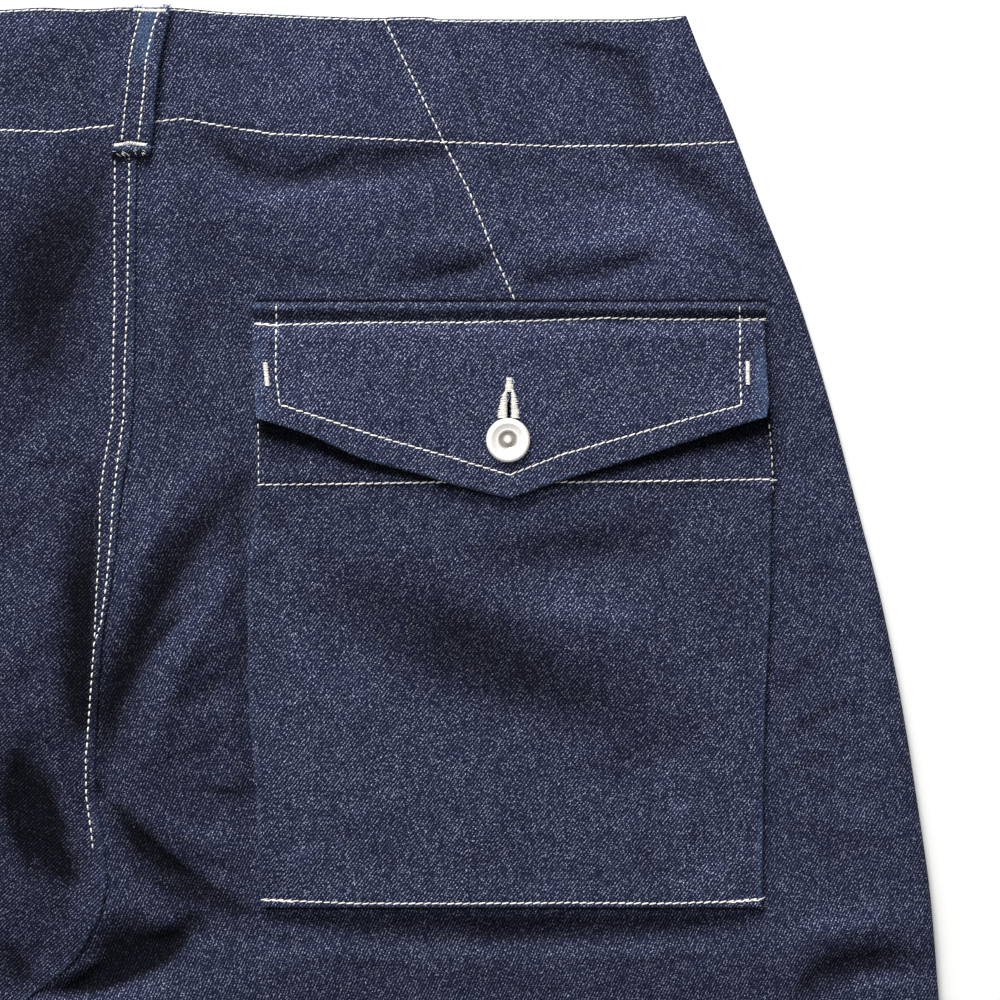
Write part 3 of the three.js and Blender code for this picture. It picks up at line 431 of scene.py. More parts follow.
def pucker(line, across, down, depth, reach, seed, wave=8.0, groove=0.3):
    """Cloth drawn up along a stitch line: a narrow groove under the thread, and puffs beside it
    that swell and sink along the line."""
    aside, run = near_line(line, across, down)
    swell = soft_noise(run, np.sign(aside) * 40.0, wave, seed)
    fine = soft_noise(run, np.sign(aside) * 40.0, wave / 2.6, seed + 1)
    puff = depth * (0.3 + 0.7 * swell + 0.35 * fine) * np.exp(-((np.abs(aside) - reach * 0.6) / reach) ** 2)
    return puff - groove * bell(aside, 0, 1.3)


def puckers(across, down, *seams):
    """The puckers of several seams, each given by its line and then as for one."""
    return sum(pucker(on_cloth(line), across, down, *sizes) for line, *sizes in seams)


def layered_noise(across, down, *layers):
    """Soft noise in several sizes, each given by its height, cell and seed."""
    return sum(height * soft_noise(across, down, cell, seed) for height, cell, seed in layers)


def back_detail(across, down):
    """Small relief of the backs: puckered seams, the dart's folded layer and the cloth's own waver."""
    relief = layered_noise(across, down, (0.3, 26, 11), (0.2, 9, 12), (0.08, 4, 13))
    relief += pucker(waist_edge_line()[::4], across, down, 0.2, 2.5, 23, 6.0, 0.2)
    relief += puckers(across, down, (WAIST_FACING_LINE, 0.45, 4.5, 21), (DART_LINE, 0.3, 3.2, 25))
    start, _ = near_line(on_cloth(DART_LINE), across, down)
    fold, _ = near_line(on_cloth(DART_FOLD), across, down)
    inside = step_between(-start, -1.0, 0.6) * step_between(fold, -1.2, 0.4)
    in_run = band(down, 5, 9, 112, 116)
    return relief + 0.85 * inside * in_run


def rounded(distance, radius):
    """1 at the height of the face, 0 at the rim: a quarter circle of this radius."""
    t = np.clip(distance / radius, 0, 1)
    return np.sqrt(np.clip(1 - (1 - t) ** 2, 0, 1))


def back_face(across, down, side):
    """Outer face of one back. Its height rounds over to the side seam and inseam, and at the centre
    seam the left back laps over the right one with its edge turned under."""
    down_c = np.clip(down, 0, LENGTH)
    face = lay_height(across, down_c) + back_detail(across, down_c)
    seam = seat_seam(np.minimum(down_c, FORK_DOWN))
    seated = 1 - step_between(down_c, FORK_DOWN - 6, FORK_DOWN + 6)
    left_line = pucker(on_cloth(SEAT_LEFT_LINE), across, down_c, 0.4, 3.4, 31, 9.0)
    right_line = pucker(on_cloth(SEAT_RIGHT_LINE), across, down_c, 0.3, 3.0, 33, 7.0)
    if side < 0:
        lap = step_between(across - seam, -10.5, -8.6)
        face = face + seated * (0.8 * lap + left_line + right_line)
        face = face - seated * 0.9 * (1 - rounded(seam + 1.2 - across, 1.1))
    else:
        near = np.exp(-(np.maximum(across - seam, 0) / 5.0) ** 2)
        face = face - seated * (0.35 * near + 0.75 * step_between(seam - across, -1.0, 1.0))
    outer = side_right(down_c) - across if side > 0 else across - side_left(down_c)
    inner = across - inseam_right(down_c) if side > 0 else inseam_left(down_c) - across
    edge = rounded(outer, EDGE_RADIUS)
    edge = np.where(down_c > FORK_DOWN, edge * rounded(inner, EDGE_RADIUS), edge)
    hem = LENGTH - down
    seam_height = lift(down_c) + SIDE_SEAM_HEIGHT
    face = seam_height + (face - seam_height) * edge
    face = face - 0.7 * (1 - rounded(down - back_waist_edge(across), 0.9))
    return face - 0.9 * (1 - rounded(hem, 1.3))


def body_face(across, down):
    """Outer face of whichever back is uppermost."""
    seam = seat_seam(np.minimum(down, FORK_DOWN))
    return np.where(across < seam + 1.1, back_face(across, down, -1), back_face(across, down, 1))


def pocket_face(across, down):
    """Outer face of the patch pocket: the back's lay, one layer up, thicker along the hemmed mouth
    and over the pleats folded under its two sides and its foot."""
    face = lay_height(across, down) + GAP
    left = across - pocket_left(down)
    right = pocket_right(down) - across
    foot = POCKET["bottom"] - down
    edge = np.minimum(np.minimum(left, right), foot)
    gusset = 1.3 * bell(edge, 0, 9)
    hemmed = 1.0 * (1 - step_between(down, POCKET["hem"] - 0.8, POCKET["hem"] + 1.4))
    wall = CLOTH + np.maximum(gusset, hemmed)
    relief = layered_noise(across, down, (0.25, 22, 41), (0.07, 4, 43), (0.1, 9, 47))
    relief += 0.16 * soft_noise(across, down * 0.35, 6, 42)
    relief += puckers(across, down, (POCKET_HEM_LINE, 0.25, 3.5, 44), (POCKET_BOTTOM_LINE, 0.35, 4.5, 46))
    fall = (wall - 0.5) * (1 - rounded(edge + 0.1, 1.1))
    return face + wall + relief * np.clip(edge / 2, 0, 1) - fall


FLAP_EDGE = on_cloth(FLAP_OUTLINE)
FLAP_LOWER = curve(tuple(map(tuple, FLAP_EDGE[3:9])), 0, 1)
FLAP_LOWER_RIGHT = curve(tuple(map(tuple, FLAP_EDGE[8:13])), 0, 1)
FLAP_TIP_ACROSS = FLAP_EDGE[8][0]


def flap_left(down):
    return np.interp(down, FLAP_EDGE[:4, 1], FLAP_EDGE[:4, 0])


def flap_right(down):
    return np.interp(down, FLAP_EDGE[:11:-1, 1], FLAP_EDGE[:11:-1, 0])


def flap_foot(across):
    """Lower edge of the flap, down to its point."""
    return np.where(across < FLAP_TIP_ACROSS, FLAP_LOWER(across), FLAP_LOWER_RIGHT(across))


def flap_face(across, down):
    """Outer face of the flap: rolled over at its sewn top, dipping at the seam through it, then out
    over the pocket's mouth, with both corners standing off."""
    below = down - FLAP["top"]
    half = np.where(across < FLAP_TIP_ACROSS, FLAP_TIP_ACROSS - FLAP["left"], FLAP["right"] - FLAP_TIP_ACROSS)
    outward = np.clip(np.abs(across - FLAP_TIP_ACROSS) / half, 0, 1)
    reach = np.clip(below / 45, 0, 1)
    face = lay_height(across, down) + flap_rise(below) + FLAP_CORNER_LIFT * outward**3 * reach**2.5
    sewn = step_between(below, 0, 4)
    relief = layered_noise(across, down, (0.18, 24, 51), (0.1, 8, 52), (0.05, 3.5, 57))
    relief += puckers(
        across, down, (FLAP_SEAM_LINE, 0.28, 2.6, 53, 5.5), (FLAP_TOPSTITCH, 0.3, 3.4, 55, 7.0),
    )
    edge = np.minimum(across - flap_left(down), flap_right(down) - across)
    edge = np.minimum(edge, (flap_foot(across) - down) * 0.93)
    return face + relief * sewn * np.clip(edge / 2, 0, 1) - 0.95 * (1 - rounded(edge, 1.0))


def loop_middle(down):
    at = np.asarray(down) / PHOTO_PIXEL + PHOTO_ORIGIN[1]
    left = np.interp(at, *np.transpose(LOOP_LEFT_EDGE))
    right = np.interp(at, *np.transpose(LOOP_RIGHT_EDGE))
    middle = ((left + right) / 2 - PHOTO_ORIGIN[0]) * PHOTO_PIXEL
    return middle, (right - left) * PHOTO_PIXEL / 2


def loop_face(across, down):
    """Outer face of the belt loop: tacked at both ends, standing off between them, its two folded
    edges fuller than its middle, and a roll at its lower end."""
    middle, half = loop_middle(down)
    share = np.clip((down - 1.5) / 56, 0, 1)
    base = lay_height(middle, down) + 0.8 + GAP
    out = (across - middle) / half
    channel = 0.3 * np.cos(out * math.pi) * (1 - np.exp(-((1 - np.abs(out)) / 0.25) ** 2))
    roll = 0.7 * bell(down, 55.6, 2.2)
    tacks = 0.5 * bell(down, 1.7, 1.2) + 0.7 * bell(down, 53.2, 0.9)
    relief = 0.12 * soft_noise(across, down, 5, 61) - channel - tacks + roll
    top = base + 1.1 * np.sin(math.pi * share) + 1.9 - 0.8 * step_between(down, 46, 55) + relief
    edge = (1 - np.abs(out)) * half
    ends = np.minimum(down - 0.4, 58.4 - down)
    return top - 1.3 * (1 - rounded(edge, 1.2)) - 1.1 * (1 - rounded(ends, 1.2))


def closed_shell(upper, lower, kept_rows, kept_columns):
    """Faces of one closed sheet: a fine grid on top, a coarser one under it, and a rim that joins
    every fine rim point to the last coarse one passed. Returns points, quads and triangles."""
    r, c = upper.shape[:2]
    kr, kc = len(kept_rows), len(kept_columns)

    def grid(rows, columns, start):
        index = np.arange(rows * columns).reshape(rows, columns) + start
        return np.stack([index[:-1, :-1], index[1:, :-1], index[1:, 1:], index[:-1, 1:]], -1).reshape(-1, 4)

    def rim(rows, columns, start):
        index = np.arange(rows * columns).reshape(rows, columns) + start
        return np.concatenate([index[0, :-1], index[:-1, -1], index[-1, :0:-1], index[:0:-1, 0]])

    fine = rim(r, c, 0)
    coarse = rim(kr, kc, r * c)
    top = np.zeros((r, c), bool)
    top[np.ix_(kept_rows, kept_columns)] = True
    passed = top.reshape(-1)[fine]
    last = np.cumsum(passed) - 1
    steps = np.stack([fine, np.roll(fine, -1), coarse[last]], -1)
    here = fine[passed]
    corners = np.stack([here, coarse, np.roll(coarse, 1)], -1)
    points = np.concatenate([upper.reshape(-1, 3), lower.reshape(-1, 3)])
    faces_up = grid(r, c, 0)
    faces_under = grid(kr, kc, r * c)[:, ::-1]
    return points, faces_up, faces_under, np.concatenate([steps, corners])


def facing_out(points, *groups):
    """Turns every face round where the closed mesh measures a negative volume."""
    volume = 0.0
    for faces in groups:
        for k in range(1, faces.shape[1] - 1):
            a, b, c = points[faces[:, 0]], points[faces[:, k]], points[faces[:, k + 1]]
            volume += np.einsum("ij,ij->", a, np.cross(b, c))
    return groups if volume > 0 else tuple(faces[:, ::-1] for faces in groups)


def make_piece(name, points, groups, materials, marks=None, uv=None, crease=55):
    """One object from points in millimetres and face groups, one group for each material. Marks are
    values kept on the points, and uv is the weave's place in metres. It rides on the root body."""
    mesh = bpy.data.meshes.new(name)
    place = np.array(points, float)
    place[:, 0] += SHIFT
    mesh.vertices.add(len(place))
    mesh.vertices.foreach_set("co", (place * MM).astype(np.float32).ravel())
    corners = np.concatenate([faces.ravel() for faces in groups])
    sizes = np.concatenate([np.full(len(faces), faces.shape[1]) for faces in groups])
    slots = np.concatenate([np.full(len(faces), k) for k, faces in enumerate(groups)])
    mesh.loops.add(len(corners))
    mesh.loops.foreach_set("vertex_index", corners.astype(np.int32))
    mesh.polygons.add(len(sizes))
    mesh.polygons.foreach_set("loop_start", (np.cumsum(sizes) - sizes).astype(np.int32))
    mesh.polygons.foreach_set("material_index", np.minimum(slots, len(materials) - 1).astype(np.int32))
    mesh.update(calc_edges=True)
    mesh.shade_smooth()
    mesh.set_sharp_from_angle(angle=math.radians(crease))
    for mark, values in (marks or {}).items():
        attribute = mesh.attributes.new(mark, "FLOAT", "POINT")
        attribute.data.foreach_set("value", np.asarray(values, np.float32).ravel())
    if uv is not None:
        layer = mesh.uv_layers.new(name="weave")
        layer.uv.foreach_set("vector", (np.asarray(uv)[corners] * MM).astype(np.float32).ravel())
    for material in materials:
        mesh.materials.append(material)
    piece = bpy.data.objects.new(name, mesh)
    bpy.context.scene.collection.objects.link(piece)
    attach(piece, "root")
    return piece


def weave_place(across, down, lean_top, lean_foot):
    """Where each point lies in the weave: across the warp, and up along it. The warp leans by the
    first angle at the waist and by the second at the fork, as the panel was laid."""
    lean = np.radians(lean_top + (lean_foot - lean_top) * np.clip(down / FORK_DOWN, 0, 1.4))
    middle = np.radians((lean_top + lean_foot) / 2)
    drift = np.radians(lean_top) * down + np.radians(lean_foot - lean_top) * down**2 / (2 * FORK_DOWN)
    u = (across - drift) * math.cos(middle)
    v = -(down * math.cos(middle) + across * np.sin(lean))
    return np.stack([u, v], -1)


def points_at(across, down, z):
    return np.stack([across, LENGTH / 2 - down, z], -1)


def kept(count, step):
    return np.unique(np.append(np.arange(0, count, step), count - 1))


def spaced(start, end, step):
    return np.linspace(start, end, max(2, round(abs(end - start) / step) + 1))


def rim_to_rim(rim, inset, step, width=1.0):
    """Shares of a width: steps at its rim, then even ones from an inset, then the rim's once more."""
    rim = np.array(rim) / width
    return np.concatenate([rim, spaced(inset / width, 1 - inset / width, step / width), 1 - rim[::-1]])


def stitch_ends(line, pitch, length, start=0.0, slant=0.0, stop=None):
    """Both ends of every stitch along a broken line: one each pitch, of this length, turned by the
    slant in degrees from the line's own run. Returns two arrays of across and down."""
    run = np.concatenate([[0], np.cumsum(np.hypot(*np.diff(line, axis=0).T))])
    last = run[-1] if stop is None else stop
    at = np.arange(start, last - length * 0.5, pitch)
    middle = at + length / 2

    def place(s):
        return np.stack([np.interp(s, run, line[:, 0]), np.interp(s, run, line[:, 1])], -1)

    centre = place(middle)
    way = place(np.minimum(middle + length / 2, last)) - place(np.maximum(middle - length / 2, 0))
    way /= np.maximum(np.hypot(way[:, 0], way[:, 1]), 1e-6)[:, None]
    turn = math.radians(slant)
    way = np.stack([
        way[:, 0] * math.cos(turn) - way[:, 1] * math.sin(turn),
        way[:, 0] * math.sin(turn) + way[:, 1] * math.cos(turn),
    ], -1)
    return centre - way * length / 2, centre + way * length / 2


def cross_ends(line, pitch, width, slant=0.0):
    """Both ends of the close stitches that cross a tack: one each pitch, at right angles to it."""
    first, second = stitch_ends(line, pitch, pitch, slant=90 + slant)
    middle = (first + second) / 2
    way = (second - first) / pitch
    return middle - way * width / 2, middle + way * width / 2


STITCH_STATIONS = np.array([0, 0.12, 0.36, 0.64, 0.88, 1.0])
STITCH_FULLNESS = np.array([0.45, 0.85, 1.0, 1.0, 0.85, 0.45])
STITCH_ARCH = np.array([-1.3, -0.2, 0.35, 0.35, -0.2, -1.3])


def stitch_solids(starts, ends, face, width, height, seed, sink=0.0, side=1):
    """Each stitch is a short tube of six sides carried from end to end, fuller in its middle and
    diving into the cloth at both ends. It lies on the face, square to it."""
    rng = np.random.default_rng(seed)
    starts = starts + rng.normal(0, 0.05, starts.shape)
    ends = ends + rng.normal(0, 0.05, ends.shape)
    flat = starts[:, None] + (ends - starts)[:, None] * STITCH_STATIONS[None, :, None]
    a, d = flat[..., 0], flat[..., 1]
    z = face(a, d)
    reach = 0.35
    slope_a = (face(a + reach, d) - face(a - reach, d)) / (2 * reach)
    slope_d = (face(a, d + reach) - face(a, d - reach)) / (2 * reach)
    slope_a, slope_d = np.clip(slope_a, -1.2, 1.2), np.clip(slope_d, -1.2, 1.2)
    up = np.stack([-slope_a, slope_d, np.ones_like(z)], -1) * side
    up /= np.linalg.norm(up, axis=-1, keepdims=True)
    spine = points_at(a, d, z)
    along = (spine[:, -1] - spine[:, 0])[:, None]
    across = np.cross(np.broadcast_to(along, up.shape), up)
    across /= np.maximum(np.linalg.norm(across, axis=-1, keepdims=True), 1e-9)
    thick = width * rng.uniform(0.88, 1.1, (len(starts), 1, 1))
    spine = spine + up * ((STITCH_ARCH[None, :, None] * height / 2) + height * 0.25 - sink)
    angle = np.arange(6) * math.pi / 3 - math.pi / 2
    full = STITCH_FULLNESS[None, :, None, None]
    ring = spine[:, :, None]
    ring = ring + across[:, :, None] * np.cos(angle)[None, None, :, None] * full * thick[..., None] / 2
    ring = ring + up[:, :, None] * np.sin(angle)[None, None, :, None] * full * height / 2
    count = len(starts)
    index = np.arange(count * 36).reshape(count, 6, 6)
    turned = np.roll(index, -1, axis=2)
    quads = np.stack([index[:, :-1], turned[:, :-1], turned[:, 1:], index[:, 1:]], -1).reshape(-1, 4)
    caps = np.concatenate([index[:, 0, ::-1], index[:, -1]])
    length = np.linalg.norm(ends - starts, axis=1)
    u = STITCH_STATIONS[None, :, None] * length[:, None, None] + rng.uniform(0, 3, (count, 1, 1))
    v = np.broadcast_to(np.arange(6)[None, None, :] / 6.0, (count, 6, 6))
    uv = np.stack([np.broadcast_to(u, (count, 6, 6)), v], -1)
    tone = np.broadcast_to(rng.uniform(0.88, 1.06, (count, 1, 1)), (count, 6, 6))
    return ring.reshape(-1, 3), quads, caps, uv.reshape(-1, 2), tone.reshape(-1)


def make_stitches(name, batches, finish="cream_thread"):
    """Joins batches of stitches into one piece."""
    parts = [stitch_solids(**batch) for batch in batches]
    starts = np.cumsum([0] + [len(part[0]) for part in parts])
    points, uv, tone = (np.concatenate([part[k] for part in parts]) for k in (0, 3, 4))
    quads, caps = (
        np.concatenate([part[k] + start for part, start in zip(parts, starts)]) for k in (1, 2)
    )
    groups = facing_out(points, quads, caps)
    piece = make_piece(name, points, groups, [finish_of(finish)], {"tone": tone}, uv, 80)


def linear(code):
    """Linear colour of an sRGB hex value."""
    value = [int(code[i:i + 2], 16) / 255 for i in (1, 3, 5)]
    return tuple(c / 12.92 if c <= 0.04045 else ((c + 0.055) / 1.055) ** 2.4 for c in value)


def node(tree, kind, inputs=None, **settings):
    """Adds one node with its settings, and gives its inputs their values or links."""
    made = tree.nodes.new(kind)
    for name, value in settings.items():
        setattr(made, name, value)
    for key, value in (inputs or {}).items():
        if isinstance(value, bpy.types.NodeSocket):
            tree.links.new(value, made.inputs[key])
        else:
            made.inputs[key].default_value = value
    return made.outputs


def new_material(name):
    material = bpy.data.materials.new(name)
    material.use_nodes = True
    tree = material.node_tree
    tree.nodes.clear()
    return material, tree


def finish_material(tree, inputs):
    shader = node(tree, "ShaderNodeBsdfPrincipled", inputs)
    node(tree, "ShaderNodeOutputMaterial", {"Surface": shader["BSDF"]})


def rgba(colour):
    return (*colour[:3], 1.0)


def calc(tree, operation, *values, **settings):
    """One math node's result, of one to three values or links in their order."""
    return node(tree, "ShaderNodeMath", dict(enumerate(values)), operation=operation, **settings)[0]


def vector_calc(tree, operation, vector, other=None):
    """One vector math node's result, scaled by a factor or with another vector."""
    second = {} if other is None else {"Scale" if operation == "SCALE" else 1: other}
    return node(tree, "ShaderNodeVectorMath", {0: vector, **second}, operation=operation)[0]


def ranged(tree, value, low, high, start=0.0, end=1.0):
    """A value carried from between start and end to between low and high."""
    return node(tree, "ShaderNodeMapRange", {
        "Value": value, "From Min": start, "From Max": end, "To Min": low, "To Max": high,
    })[0]


def mixed(tree, share, first, second):
    """The first colour turned by a share into the second."""
    return node(tree, "ShaderNodeMix", {"Factor": share, 6: first, 7: second}, data_type="RGBA")[2]


def noise(tree, place, scale, detail, output="Fac"):
    return node(tree, "ShaderNodeTexNoise", {"Vector": place, "Scale": scale, "Detail": detail})[output]


def dice(tree, key, value, dimensions="2D"):
    """A random share for each whole value or vector."""
    return node(tree, "ShaderNodeTexWhiteNoise", {key: value}, noise_dimensions=dimensions)["Value"]


def mark_of(tree, name):
    """A mark that the piece keeps on its points."""
    return node(tree, "ShaderNodeAttribute", attribute_name=name)["Fac"]


def bump_of(tree, height, strength, depth):
    return node(tree, "ShaderNodeBump", {"Strength": strength, "Distance": depth, "Height": height})[0]


# Weave: how far yarns waver in metres, ends in a repeat of the twill, and fibres to the metre.
# Real fibres are about 0.02 mm. They are drawn ten times coarser, since finer ones fall between pixels.
YARN_WAVER = 0.0006
TWILL_REPEAT = 4.0
FIBRES = 4600.0


# Indigo denim: a 3/1 right-hand twill of dyed warp over undyed weft, worn pale where it rubs.
# The eye sees a dark blue with pale dots in steep diagonal lines, uneven from yarn to yarn.
def indigo_denim(name, warp, weft, worn, brightness, weft_showing, relief):
    material, tree = new_material(name)
    sizes = bpy.context.scene.trouser_sizes
    place = node(tree, "ShaderNodeUVMap", uv_map="weave")[0]
    waver = vector_calc(tree, "SUBTRACT", noise(tree, place, 420.0, 1.0, "Color"), (0.5, 0.5, 0.5))
    bent = vector_calc(tree, "ADD", place, vector_calc(tree, "SCALE", waver, YARN_WAVER))
    axes = node(tree, "ShaderNodeSeparateXYZ", {0: bent})
    end = calc(tree, "FLOOR", calc(tree, "DIVIDE", axes["X"], sizes.end_spacing))
    along = calc(tree, "DIVIDE", axes["Y"], sizes.pick_spacing)
    yarn = node(tree, "ShaderNodeCombineXYZ", {
        0: calc(tree, "MULTIPLY", end, 0.71), 1: calc(tree, "MULTIPLY", along, 0.06),
    })[0]
    slub = noise(tree, yarn, 1.0, 2.0)
    slip = calc(tree, "MULTIPLY", dice(tree, "W", end, "1D"), 0.8)
    slip = calc(tree, "MULTIPLY_ADD", slub, 1.6, slip)
    pick = calc(tree, "FLOOR", calc(tree, "ADD", along, slip))
    turn = calc(tree, "FLOORED_MODULO", calc(tree, "SUBTRACT", end, pick), TWILL_REPEAT)
    shows_weft = calc(tree, "LESS_THAN", turn, 0.5)
    cell = node(tree, "ShaderNodeCombineXYZ", {0: end, 1: pick})[0]
    chance = dice(tree, "Vector", cell)
    share = ranged(tree, calc(tree, "POWER", chance, 2.0), weft_showing * 0.1, weft_showing * 0.93)
    share = calc(tree, "MULTIPLY", share, ranged(tree, slub, 0.7, 1.25, 0.3, 0.7))
    showing = calc(tree, "MULTIPLY", shows_weft, share)
    fleck = dice(tree, "Vector", vector_calc(tree, "ADD", cell, (37.0, 91.0, 0.0)))
    showing = calc(tree, "ADD", showing, ranged(tree, fleck, 0.0, weft_showing * 0.8, 0.975, 0.995))
    slubbed = ranged(tree, slub, 0.0, 0.018, 0.35, 0.75)
    showing = calc(tree, "ADD", showing, slubbed, use_clamp=True)
    colour = mixed(tree, showing, rgba(warp), rgba(weft))
    rubbed = calc(tree, "MULTIPLY", mark_of(tree, "wear"), ranged(tree, chance, 0.45, 1.0))
    colour = mixed(tree, rubbed, colour, rgba(worn))
    patch = noise(tree, place, 90.0, 3.0)
    mottle = ranged(tree, patch, 0.92 * brightness, 1.08 * brightness, 0.3, 0.7)
    fibre = vector_calc(tree, "FLOOR", vector_calc(tree, "SCALE", bent, FIBRES))
    fibre = ranged(tree, dice(tree, "Vector", fibre), 0.2, 1.8)
    # The tone mark scales the colour: random variation, with painted light and shade from the folds, patches
    # and lines
    strength = calc(tree, "MULTIPLY", calc(tree, "MULTIPLY", mark_of(tree, "tone"), mottle), fibre)
    finish_material(tree, {
        "Base Color": vector_calc(tree, "SCALE", colour, strength), "Roughness": 0.9,
        "Specular IOR Level": 0.06, "Sheen Weight": 0.02, "Sheen Roughness": 0.5,
        "Normal": bump_of(tree, calc(tree, "ADD", shows_weft, slub), relief, 0.00012),
    })
    return material


# Sewing thread: polyester core spun with cotton, cream, two plies whose twist shows as slanted ribs
def twisted_thread(name, colour):
    material, tree = new_material(name)
    axes = node(tree, "ShaderNodeSeparateXYZ", {0: node(tree, "ShaderNodeUVMap", uv_map="weave")[0]})
    run = calc(tree, "MULTIPLY", axes["X"], 2 * math.pi / 0.0006)
    around = calc(tree, "MULTIPLY", axes["Y"], 2000 * math.pi)
    rib = calc(tree, "SINE", calc(tree, "ADD", run, around))
    shade = calc(tree, "MULTIPLY", ranged(tree, rib, 0.78, 1.0, -1.0, 1.0), mark_of(tree, "tone"))
    finish_material(tree, {
        "Base Color": vector_calc(tree, "SCALE", tuple(colour[:3]), shade), "Roughness": 0.6,
        "Specular IOR Level": 0.35, "Sheen Weight": 0.1, "Normal": bump_of(tree, rib, 0.4, 0.00008),
    })
    return material


# Tack button: brass pressed and plated with silvery nickel, bright on its rim, and in its dish dulled plating
# with painted shade
def plated_brass(name, colour, dull_and_shade):
    material, tree = new_material(name)
    speck = noise(tree, node(tree, "ShaderNodeTexCoord")["Object"], 1500.0, 2.0)
    finish_material(tree, {
        "Base Color": mixed(tree, mark_of(tree, "wear"), rgba(colour), rgba(dull_and_shade)), "Metallic": 0.45,
        "Roughness": ranged(tree, speck, 0.26, 0.42, 0.3, 0.7),
        "Normal": bump_of(tree, speck, 0.12, 0.00006),
    })
    return material


# Studio floor: pale painted board, matt
def painted_floor(name, colour):
    material, tree = new_material(name)
    grain = noise(tree, node(tree, "ShaderNodeTexCoord")["Object"], 260.0, 2.0)
    bump = bump_of(tree, grain, 0.03, 0.0002)
    finish_material(tree, {"Base Color": rgba(colour), "Roughness": 0.85, "Normal": bump})
    return material


# Denims by name: the colour of their face, brightness, how far the weft shows, relief
DENIMS = {
    "indigo_denim_body": ("warp", 0.94, 0.6, 0.35),
    "indigo_denim_pocket": ("warp", 0.93, 0.64, 0.35),
    "indigo_denim_flap": ("warp", 1.06, 0.67, 0.35),
    "indigo_denim_loop": ("warp", 1.0, 0.6, 0.35),
    "denim_wrong_side": ("wrong_side", 1.0, 0.9, 0.3),
}
# The other finishes by name: how each is made, and from which colours
OTHER_FINISHES = {
    "cream_thread": (twisted_thread, "thread"),
    "indigo_thread": (twisted_thread, "worn"),
    "plated_brass_button": (plated_brass, "button", "button_dish_dull_and_shade"),
    "painted_floor": (painted_floor, "floor"),
}
MADE = {}


def finish_of(name):
    """A material by its name, made the first time that a piece needs it."""
    if name not in MADE:
        colours = bpy.context.scene.trouser_colours
        if name in DENIMS:
            face, *look = DENIMS[name]
            MADE[name] = indigo_denim(name, getattr(colours, face), colours.weft, colours.worn, *look)
        else:
            make, *wanted = OTHER_FINISHES[name]
            MADE[name] = make(name, *(getattr(colours, key) for key in wanted))
    return MADE[name]


def fold_wear_and_shade(across, down):
    """Indigo rubs off the ridges and stays in the troughs, and the troughs carry painted shade and the ridges
    painted light: a share for each millimetre of rise, more where the photograph shows the cloth crumpled."""
    relief = folded(across, down) * (1 - pressed_share(across, down))
    shown = step_between(across, -130, -70) * (1 - step_between(down, 385, 450))
    share = np.where(relief > 0, 0.07 + 0.04 * shown, 0.09 + 0.16 * shown)
    return share * np.tanh(relief / FOLD_LIMIT) * FOLD_LIMIT


def body_tone(across, down):
    """How light the cloth is, about 1: paler over the waist and the lap, darker by the fork, with patches of
    painted light and shade, painted shade and light over the folds, and a thin painted shadow line above the
    flap and below the pocket."""
    tone = 1.0 + layered_noise(across, down, (0.08, 55, 71), (0.07, 17, 72), (0.05, 7, 70))
    tone += 0.1 * (1 - step_between(down, 40, 62))
    tone -= 0.22 * step_between(-across, 12, 40) * step_between(down, 50, 110)
    tone -= 0.12 * step_between(down, 200, 330) * step_between(-across, -60, 0)
    x, y = in_photo(across, down)
    # Patches of painted light and shade
    for cx, cy, rx, ry, change in PAINTED_LIGHT_AND_SHADE:
        tone += change * np.exp(-(((x - cx) / rx) ** 2) - ((y - cy) / ry) ** 2)
    fold, _ = near_line(on_cloth(DART_FOLD), across, down)
    tone += 0.3 * bell(fold, 0, 0.9) * (0.6 + 0.6 * soft_noise(across, down, 6, 69))
    tone -= 0.3 * bell(fold, 2.2, 1.4) * step_between(down, 8, 16)
    # Painted shadow: a thin dark line along the flap's sewn top and another against the pocket's foot
    above = bell(down, 113.2, 0.75) * band(across, 39, 42, 237, 240)
    below = bell(down, 348.2, 0.6) * band(across, 42, 44, 235, 237)
    return np.maximum(tone + fold_wear_and_shade(across, down) - 1.0 * above - 0.9 * below, 0.1)


def length_choice(name, description, default, least):
    return FloatProperty(name=name, description=description, default=default, unit="LENGTH", min=least)


def colour_choice(name, description, code):
    return FloatVectorProperty(
        name=name, description=description, subtype="COLOR", default=linear(code), min=0, max=1,
    )


class TrouserSizes(bpy.types.PropertyGroup):
    """Sizes that a user would change."""

    stitch_pitch: length_choice("Stitch pitch", "From one stitch to the next", 0.003, 0.001)
    stitch_width: length_choice("Thread width", "Width of a laid stitch", 0.00068, 0.0002)
    end_spacing: length_choice("End spacing", "From one warp yarn to the next", 0.000347, 0.0001)
    pick_spacing: length_choice("Pick spacing", "From one weft yarn to the next", 0.00047, 0.0001)
    floor_size: length_choice("Floor size", "Side of the floor under the trousers", 12.0, 2.0)


class TrouserColours(bpy.types.PropertyGroup):
    """Colours that a user would change."""

    warp: colour_choice("Warp", "Indigo yarns on the face", "#101530")
    weft: colour_choice("Weft", "Pale yarns between them", "#bfc4de")
    wrong_side: colour_choice("Wrong side", "The cloth's inner face", "#767c8e")
    worn: colour_choice("Worn blue", "Where the indigo has rubbed off", "#445f82")
    thread: colour_choice("Thread", "Topstitching", "#fcf9ef")
    button: colour_choice("Button", "Silvery plating", "#fffcf6")
    # Dulled plating with painted shade in the button's dish
    button_dish_dull_and_shade: colour_choice("Button dish", "Dulled plating in the dish", "#5e5144")
    floor: colour_choice("Floor", "Pale floor", "#f6f6f4")


class StageSettings(bpy.types.PropertyGroup):
    """Light and camera."""

    key_power: FloatProperty(name="Key light", description="Power of the soft light beyond the waist",
        default=112.0, unit="POWER", min=0)
    fill: FloatProperty(name="Fill", description="Strength of the pale surroundings", default=0.3, min=0)
    lens: FloatProperty(name="Lens", description="Focal length in millimetres", default=100.0, min=10)


